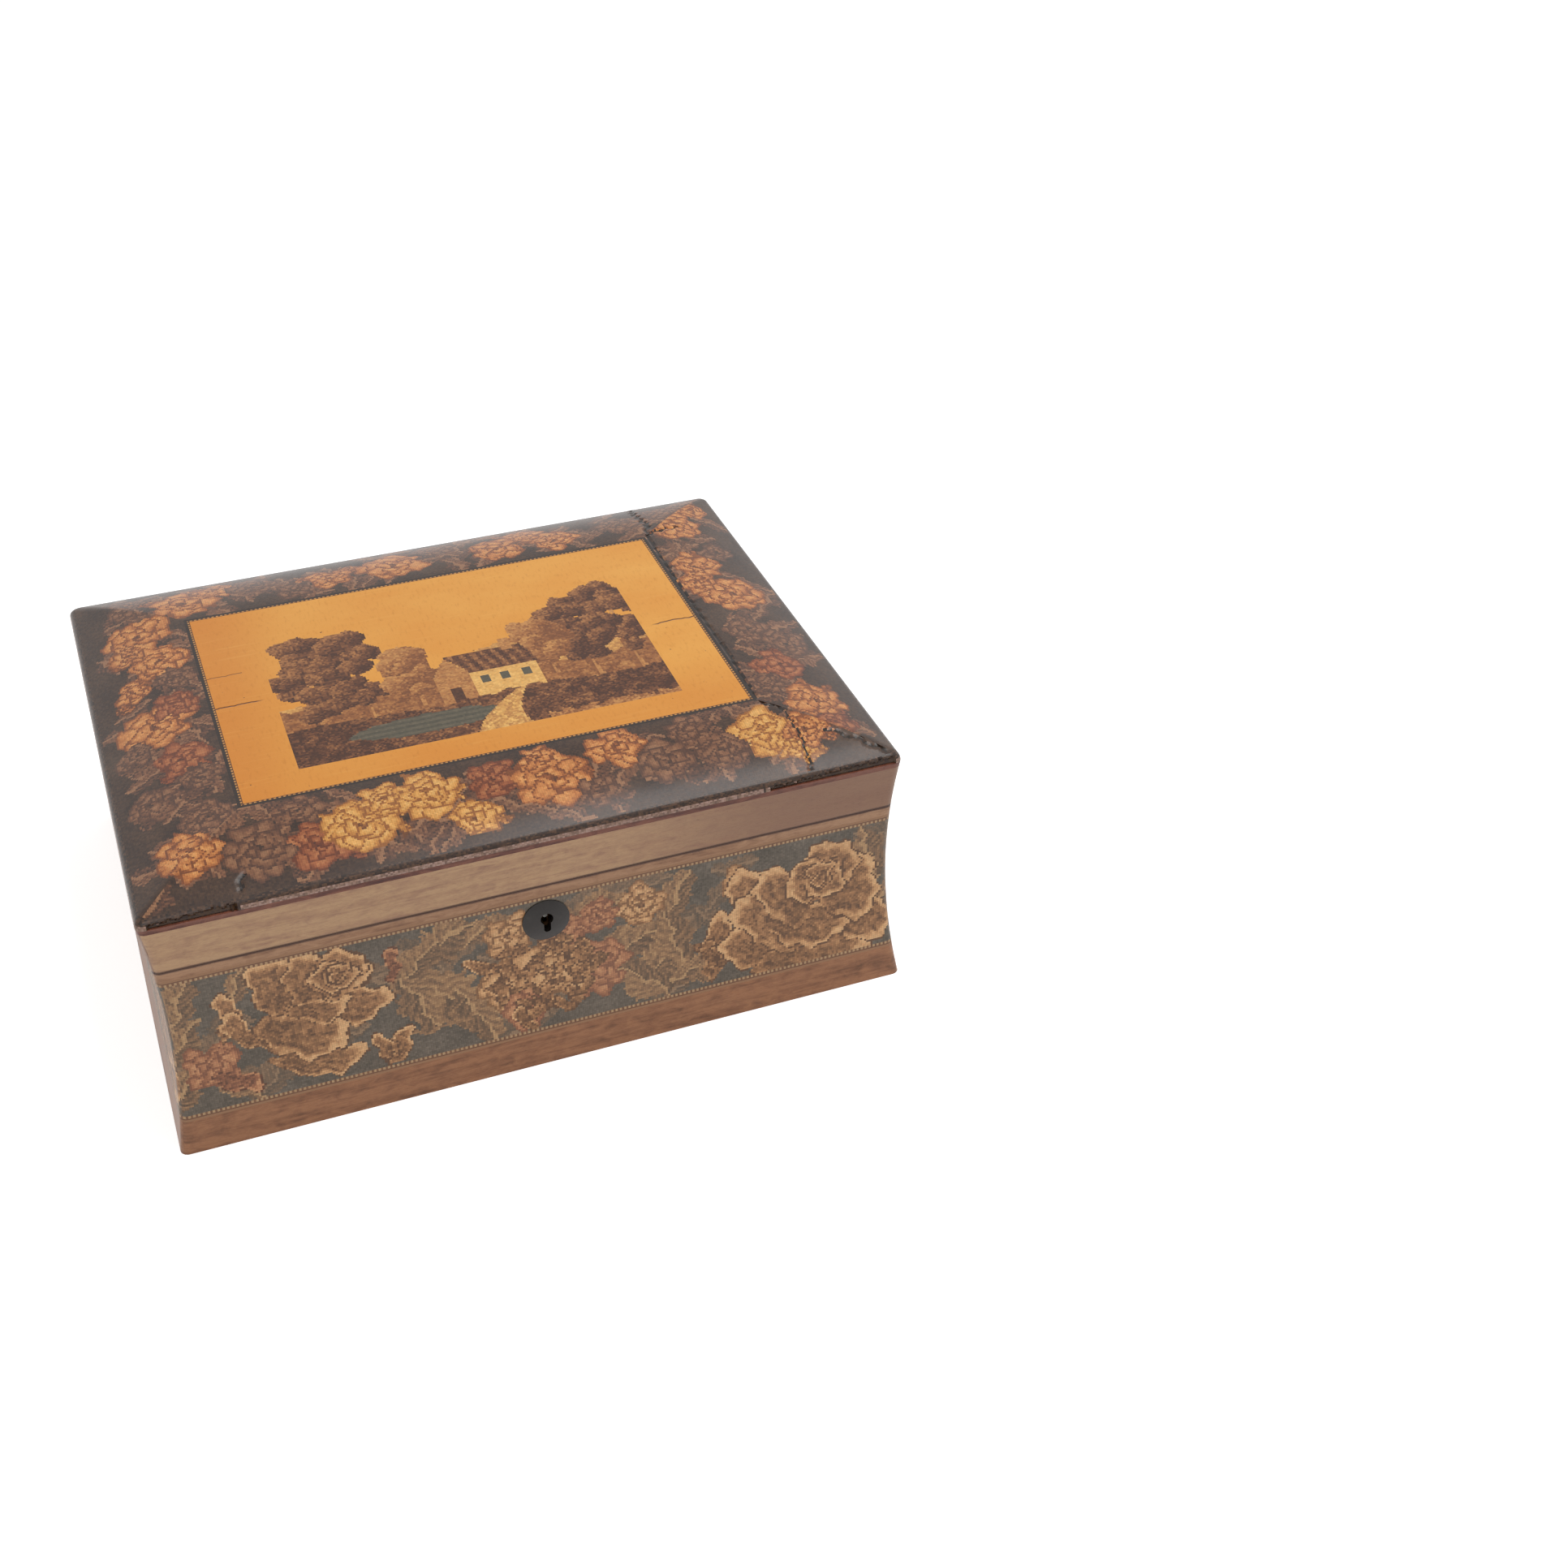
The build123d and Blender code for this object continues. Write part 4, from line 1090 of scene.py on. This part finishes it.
class WORKBOX_OT_stringing(bpy.types.Operator):
    """Rows of light and dark tesserae: below and above the bands, and on the lid's rim"""
    bl_idname = "workbox.stringing"
    bl_label = "Stringing"

    def execute(self, context):
        case_line = checks_finish("case stringing", "#c3a179", "#74503a", "#a07757", "#644333")
        rim_line = mosaic_finish("rim mosaic", 0.8, polish=0.10, rough=0.27)
        chip = settings().chip_depth / MM
        for node in ("stringing_lower", "stringing_upper"):
            low, high = span(node, 2)
            for side in SIDES:
                piece = self.strip(node, side, low, high)
                give(piece, case_line, "case", "stringing", *([node] if side == "front" else []))
        for side in SIDES:
            columns = round((2 * half_width(side) + 4) / TESSERA)
            wear = (lambda a, u: chip * bare_chip(a, u)) if side == "front" else None
            piece = skin("rim_checks_" + side, side, cushion_path(0.0, RIM_LINE_W, 8), TOP_VENEER,
                         columns, self.rim_paint(side), wear)
            stands_for = ["rim_stringing"] if side == "front" else []
            give(piece, rim_line, "lid", "stringing", *stands_for)
        return {"FINISHED"}

    def strip(self, node, side, low, high):
        piece = skin(node + "_" + side, side, side_path(low, high, 3), VENEER, STRIP_COLUMNS)
        if node == "stringing_lower":
            data = piece.data.uv_layers[0].data
            uv = np.empty(len(data) * 2, dtype=np.float32)
            data.foreach_get("uv", uv)
            uv[1::2] = uv[1::2].max() - uv[1::2]
            data.foreach_set("uv", uv)
        return piece

    def rim_paint(self, side):
        """Pinkish and dark checks, with dark wood where the edge is lost."""
        woods = hex_rows("#98796b", "#836858", "#755b4f", "#a4867a")
        dark = hex_rows("#33221a", "#45301f")

        def paint(along, up):
            column = np.floor(along / TESSERA).astype(int)
            row = np.floor(up / TESSERA).astype(int)
            dice = np.random.default_rng(5)
            pick = (column + row) % 2 + 2 * (dice.random(len(along)) > 0.55)
            colour = woods[pick]
            above = up > RIM_CHECKS
            ground = hex_rows(*LID_GROUND)
            colour[above] = ground[(dice.random(len(along)) * 4).astype(int)][above]
            if side == "front":
                bare = bare_chip(along, up)
                colour[bare] = dark[(dice.random(len(along)) > 0.5).astype(int)][bare]
            return colour

        return paint


class WORKBOX_OT_lid_panel(bpy.types.Operator):
    """Flat middle of the lid: checked line, yellow wood and the inlaid view"""
    bl_idname = "workbox.lid_panel"
    bl_label = "Lid panel"

    def execute(self, context):
        frame["nodes"]["panel_ground"].data.materials[0] = panel_finish("yellow panel")
        self.line()
        self.view()
        return {"FINISHED"}

    def line(self):
        """Checked line round the panel: dark outside, checks inside."""
        high = span("panel_stringing", 0)[1]
        high_y = span("panel_stringing", 1)[1]
        b = Bench("panel checks", Coat_Roughness=0.15, Specular_IOR_Level=0.25, Coat_Weight=0.1)
        x, y, _ = b.axes(b.place())
        x = x * 1000.0
        y = y * 1000.0
        from_x = high - x.absolute()
        from_y = high_y - y.absolute()
        gap = from_x.lowest(from_y)
        on_x = (from_x < from_y)
        along = y * on_x + x * (1.0 - on_x)
        cell = along / (2 * TESSERA)
        tick = ((cell.fract() - 0.5).absolute() > 0.25)
        spot = b.random(b.join(cell.floor(), tick, on_x))
        base = b.mix(tick, "#3b261a", "#c8914f")
        base = b.mix(spot * 0.4, base, "#7a4f2e")
        base = b.mix((gap < 1.15), base, "#2c211b")
        base = b.mix((gap > 1.75), base, "#5a3218")
        b.feed("Base Color", base)
        b.feed("Roughness", 0.3 + 0.15 * spot)
        b.bump(tick * 0.3 + spot * 0.3, 0.2, 0.00015)
        frame["nodes"]["panel_stringing"].data.materials[0] = b.material

    def view(self):
        """Inlaid view: a flat field of tesserae."""
        low, high = (np.array(c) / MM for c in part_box("picture_inlay"))
        size = high - low
        obj, grid = sheet("inlaid_view", round(size[0] / TESSERA), round(size[1] / TESSERA))
        x = low[0] + (grid[:, 0] + 0.5) * size[0]
        y = low[1] + (grid[:, 1] + 0.5) * size[1]
        set_points(obj, np.stack([x, y, np.full_like(x, high[2])], 1) * MM)
        faces = lay_uv(obj, x, y)
        middle = (low + high) / 2
        lay_tint(obj, paint_view(faces[:, 0] - middle[0], faces[:, 1] - middle[1]))
        apply_modifier(obj, "SOLIDIFY", thickness=size[2] * MM, offset=-1.0)
        smooth(obj)
        give(obj, view_finish("view mosaic"), "lid", "picture_wood", "picture_inlay")


class WORKBOX_OT_keyhole_plate(bpy.types.Operator):
    """Round domed keyhole plate"""
    bl_idname = "workbox.keyhole_plate"
    bl_label = "Keyhole plate"

    def execute(self, context):
        low, high = (np.array(c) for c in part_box("escutcheon"))
        r = (high[0] - low[0]) / 2
        x = (low[0] + high[0]) / 2
        z = (low[2] + high[2]) / 2
        rise = PLATE_RISE * MM
        ball_r = (r ** 2 + rise ** 2) / (2 * rise)
        clear_selection()
        bpy.ops.mesh.primitive_uv_sphere_add(segments=96, ring_count=120, radius=ball_r,
                                             location=(x, low[1] + ball_r, z),
                                             rotation=UPRIGHT)
        plate = made("keyhole_plate")
        settle(plate)
        trim(plate, (x, low[1] + rise, z), (0, 1, 0))
        self.thicken(plate, high[1] - low[1] - rise)
        self.keyhole(plate, x, low[1])
        smooth(plate, 40)
        give(plate, plate_finish("dark plate"), "case", "dark_metal", "escutcheon")
        return {"FINISHED"}

    def thicken(self, plate, depth):
        """The flat back of the dome is drawn back into its seat."""
        bpy.ops.object.mode_set(mode="EDIT")
        bpy.ops.mesh.select_mode(type="FACE")
        bpy.ops.object.mode_set(mode="OBJECT")
        for polygon in plate.data.polygons:
            polygon.select = polygon.normal.y > 0.9
        bpy.ops.object.mode_set(mode="EDIT")
        bpy.ops.mesh.extrude_region_move(TRANSFORM_OT_translate={"value": (0, depth, 0)})
        bpy.ops.object.mode_set(mode="OBJECT")

    def keyhole(self, plate, x, front):
        """Round top, slot and round foot, cut right through."""
        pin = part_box("lock_pin")
        top = (pin[0][2] + pin[1][2]) / 2
        foot = KEYHOLE_FOOT_Z * MM
        for name, vertices, radius, z in (("round_cut", 40, KEYHOLE_R, top),
                                          ("foot_cut", 32, KEYHOLE_FOOT_R, foot)):
            cut(plate, rod(name, vertices, radius * MM, THROUGH * MM, (x, front, z), UPRIGHT))
        bpy.ops.mesh.primitive_cube_add(size=1, location=(x, front, (top + foot) / 2), scale=(
            2 * KEYHOLE_FOOT_R * MM, THROUGH * MM, top - foot))
        cut(plate, made("slot_cut"))


class WORKBOX_OT_padding(bpy.types.Operator):
    """Padded silk in the lid and on the floor, and the velvet pincushion"""
    bl_idname = "workbox.padding"
    bl_label = "Padding"

    def execute(self, context):
        deep = four(settings().silk_deep)
        light = four(settings().silk_light)
        silk = cloth_finish("padded silk", deep, light, 0.00045, 0.25, 0.34)
        velvet = cloth_finish("pincushion velvet", "#4a1018", "#7c2230", 0.0006, 0.3, 0.7)
        for name, node, body, finish, slot_name, voxel, fill, front in (
                ("silk_lid_pad", "lid_pad", "lid", silk, "silk", 0.0024, 0.5, -1),
                ("silk_floor_pad", "floor_pad", "case", silk, "silk", 0.0026, 0.5, 1),
                ("velvet_pincushion", "pincushion", "tray", velvet, "velvet", 0.0018, 0.9, 1)):
            piece = self.pad(name, node, voxel, front)
            give(piece, finish, body, slot_name, node)
        return {"FINISHED"}

    def pad(self, name, node, voxel, front):
        """A slack block is remeshed, blown up as cloth, and fitted to the node's space.

        front is 1 where the pad swells upward and -1 where it hangs."""
        low, high = (np.array(c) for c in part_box(node))
        size = high - low
        clear_selection()
        bpy.ops.mesh.primitive_cube_add(size=1, location=tuple((low + high) / 2),
                                        scale=tuple(size * np.array(PAD_SHARES)))
        piece = made(name)
        settle(piece)
        apply_modifier(piece, "BEVEL", width=min(size) * PAD_ROUND, segments=3)
        choose(piece)
        piece.data.remesh_voxel_size = voxel
        bpy.ops.object.voxel_remesh()
        self.inflate(piece, front)
        apply_modifier(piece, "SMOOTH", factor=0.5, iterations=4)
        points = get_points(piece)
        foot = points.min(axis=0)
        share = (points - foot) / (points.max(axis=0) - foot)
        set_points(piece, low + PAD_SPARE * MM + share * (size - 2 * PAD_SPARE * MM))
        smooth(piece, 80)
        return piece

    def inflate(self, piece, front):
        """Air under the cloth, while the back stays on its card and the outline holds."""
        start = get_points(piece)
        side = (start[:, 2] - start[:, 2].mean()) * front
        card = piece.vertex_groups.new(name="card")
        card.add(np.flatnonzero(side < side.max() * PAD_CARD).tolist(), 1.0, "REPLACE")
        cloth = piece.modifiers.new("cloth", "CLOTH")
        cloth.settings.vertex_group_mass = card.name
        cloth.settings.use_pressure = True
        cloth.settings.uniform_pressure_force = PAD_PRESSURE
        cloth.settings.effector_weights.gravity = 0.0
        cloth.settings.quality = 4
        cloth.point_cache.frame_end = 20
        scene = bpy.context.scene
        for k in range(1, CLOTH_FRAMES + 1):
            scene.frame_set(k)
        choose(piece)
        bpy.ops.object.modifier_apply(modifier=cloth.name)
        scene.frame_set(1)
        moved = get_points(piece) - start
        far = np.linalg.norm(moved, axis=1, keepdims=True)
        limit = PAD_SWELL * MM
        set_points(piece, start + moved * np.minimum(1.0, limit / np.maximum(far, 1e-9)))
        piece.vertex_groups.clear()


class WORKBOX_OT_finishes(bpy.types.Operator):
    """Finishes of the carcase, tray, fittings and linings"""
    bl_idname = "workbox.finishes"
    bl_label = "Finishes"

    def execute(self, context):
        wood_x = carcase_finish("carcase wood along", "#5b3c26", "#8a6342", 0)
        wood_y = carcase_finish("carcase wood across", "#5b3c26", "#8a6342", 1)
        tray = carcase_finish("tray wood", "#6a4228", "#9a6c44", 0)
        brass = metal_finish("aged brass", "#b3924f", "#8c7038", "#4d3b1e")
        steel = metal_finish("aged steel", "#8f8d88", "#6c6a66", "#3d332b", 0.4)
        paper = cloth_finish("lining paper", "#7d6a55", "#a08c72", 0.0009, 0.0, 0.8)
        base_paper = cloth_finish("base paper", "#22222e", "#343444", 0.0009, 0.0, 0.85)
        silk = cloth_finish("lid silk lining", four(settings().silk_deep),
                            four(settings().silk_light), 0.00045, 0.6, 0.4)
        ribbon = cloth_finish("ribbon", "#5c1a1a", "#8a2e2a", 0.0005, 0.6, 0.45)
        by_slot = {"carcase_wood": wood_x, "tray_wood": tray, "brass": brass, "steel": steel,
                   "lining_paper": paper, "base_paper": base_paper, "silk": silk, "ribbon": ribbon}
        across = {"case_wall_left", "case_wall_right", "lid_rail_left", "lid_rail_right"}
        for row in frame["record"]["subparts"]:
            finish = by_slot.get(row["material_slot"])
            node = row["node"]
            if finish and not frame["nodes"][node].hide_render:
                frame["nodes"][node].data.materials[0] = wood_y if node in across else finish
        return {"FINISHED"}


class WORKBOX_OT_stage(bpy.types.Operator):
    """Plain pale floor, soft studio light and the camera"""
    bl_idname = "workbox.stage"
    bl_label = "Stage"

    def execute(self, context):
        self.floor()
        self.room()
        self.lamps()
        self.camera()
        return {"FINISHED"}

    def floor(self):
        clear_selection()
        bpy.ops.mesh.primitive_plane_add(size=FLOOR_SIZE * MM, location=(0, 0, -FLOOR_DROP * MM))
        floor = made("floor")
        b = Bench("floor", Roughness=0.9, Base_Color=four(settings().floor_colour),
                  Specular_IOR_Level=0.1, Emission_Color=(1, 1, 1, 1))
        camera, glossy, through = (b.add("ShaderNodeLightPath", out="Is " + ray + " Ray")
                                   for ray in ("Camera", "Glossy", "Transmission"))
        b.feed("Emission Strength", camera.highest(glossy).highest(through) * FLOOR_GLOW)
        floor.data.materials.append(b.material)

    def room(self):
        world = bpy.data.worlds.new("room")
        bpy.context.scene.world = world
        world.use_nodes = True
        tree = world.node_tree
        back = tree.nodes["Background"]
        back.inputs["Color"].default_value = (1, 1, 1, 1)
        path = tree.nodes.new("ShaderNodeLightPath")
        seen = tree.nodes.new("ShaderNodeMath")
        seen.operation = "MAXIMUM"
        tree.links.new(path.outputs["Is Camera Ray"], seen.inputs[0])
        tree.links.new(path.outputs["Is Glossy Ray"], seen.inputs[1])
        strength = tree.nodes.new("ShaderNodeMapRange")
        strength.inputs["To Min"].default_value = settings().room_light
        strength.inputs["To Max"].default_value = 1.0
        tree.links.new(seen.outputs[0], strength.inputs["Value"])
        tree.links.new(strength.outputs[0], back.inputs["Strength"])

    def lamps(self):
        for name, place, aim, size, share in LAMPS:
            lamp = bpy.data.lights.new(name, "AREA")
            lamp.energy = settings().lamp_power * share
            lamp.size = size
            obj = bpy.data.objects.new(name, lamp)
            bpy.context.scene.collection.objects.link(obj)
            obj.location = place
            obj.rotation_euler = (Vector(aim) - Vector(place)).to_track_quat("-Z", "Y").to_euler()

    def camera(self):
        a, e, r = np.radians(CAMERA_ANGLES)
        back = np.array([math.sin(a) * math.cos(e), -math.cos(a) * math.cos(e), math.sin(e)])
        right = np.array([math.cos(a), math.sin(a), 0.0])
        up = np.cross(back, right)
        rolled = math.cos(r) * right + math.sin(r) * up
        up = -math.sin(r) * right + math.cos(r) * up
        lens = bpy.data.cameras.new("camera")
        lens.sensor_width = FILM
        lens.lens = FILM * LENS_PIXELS / PICTURE_PIXELS
        lens.clip_start = 0.01
        camera = bpy.data.objects.new("camera", lens)
        bpy.context.scene.collection.objects.link(camera)
        rows = np.eye(4)
        rows[:3] = np.stack([rolled, up, back, CAMERA_PLACE], 1)
        camera.matrix_world = Matrix(rows)
        bpy.context.scene.camera = camera
        bpy.context.scene.view_settings.view_transform = "Standard"


STEPS = (WORKBOX_OT_stage, WORKBOX_OT_mosaic_bands, WORKBOX_OT_cushion_borders, WORKBOX_OT_veneers,
         WORKBOX_OT_stringing, WORKBOX_OT_lid_panel, WORKBOX_OT_keyhole_plate,
         WORKBOX_OT_padding, WORKBOX_OT_finishes)


class WORKBOX_PT_panel(bpy.types.Panel):
    """Lists the work box's pieces"""
    bl_label = "Work box"
    bl_idname = "WORKBOX_PT_panel"
    bl_space_type = "VIEW_3D"
    bl_region_type = "UI"
    bl_category = "Work Box"

    def draw(self, context):
        for key in WorkBoxSettings.__annotations__:
            self.layout.prop(settings(), key)
        for step in STEPS:
            self.layout.operator(step.bl_idname)


CLASSES = (WorkBoxSettings, *STEPS, WORKBOX_PT_panel)


def register():
    for item in CLASSES:
        bpy.utils.register_class(item)
    bpy.types.Scene.work_box = bpy.props.PointerProperty(type=WorkBoxSettings)


def unregister():
    del bpy.types.Scene.work_box
    for item in reversed(CLASSES):
        bpy.utils.unregister_class(item)


def main():
    register()
    for step in STEPS:
        group, action = step.bl_idname.split(".")
        getattr(getattr(bpy.ops, group), action)()


if __name__ == "__main__":
    main()
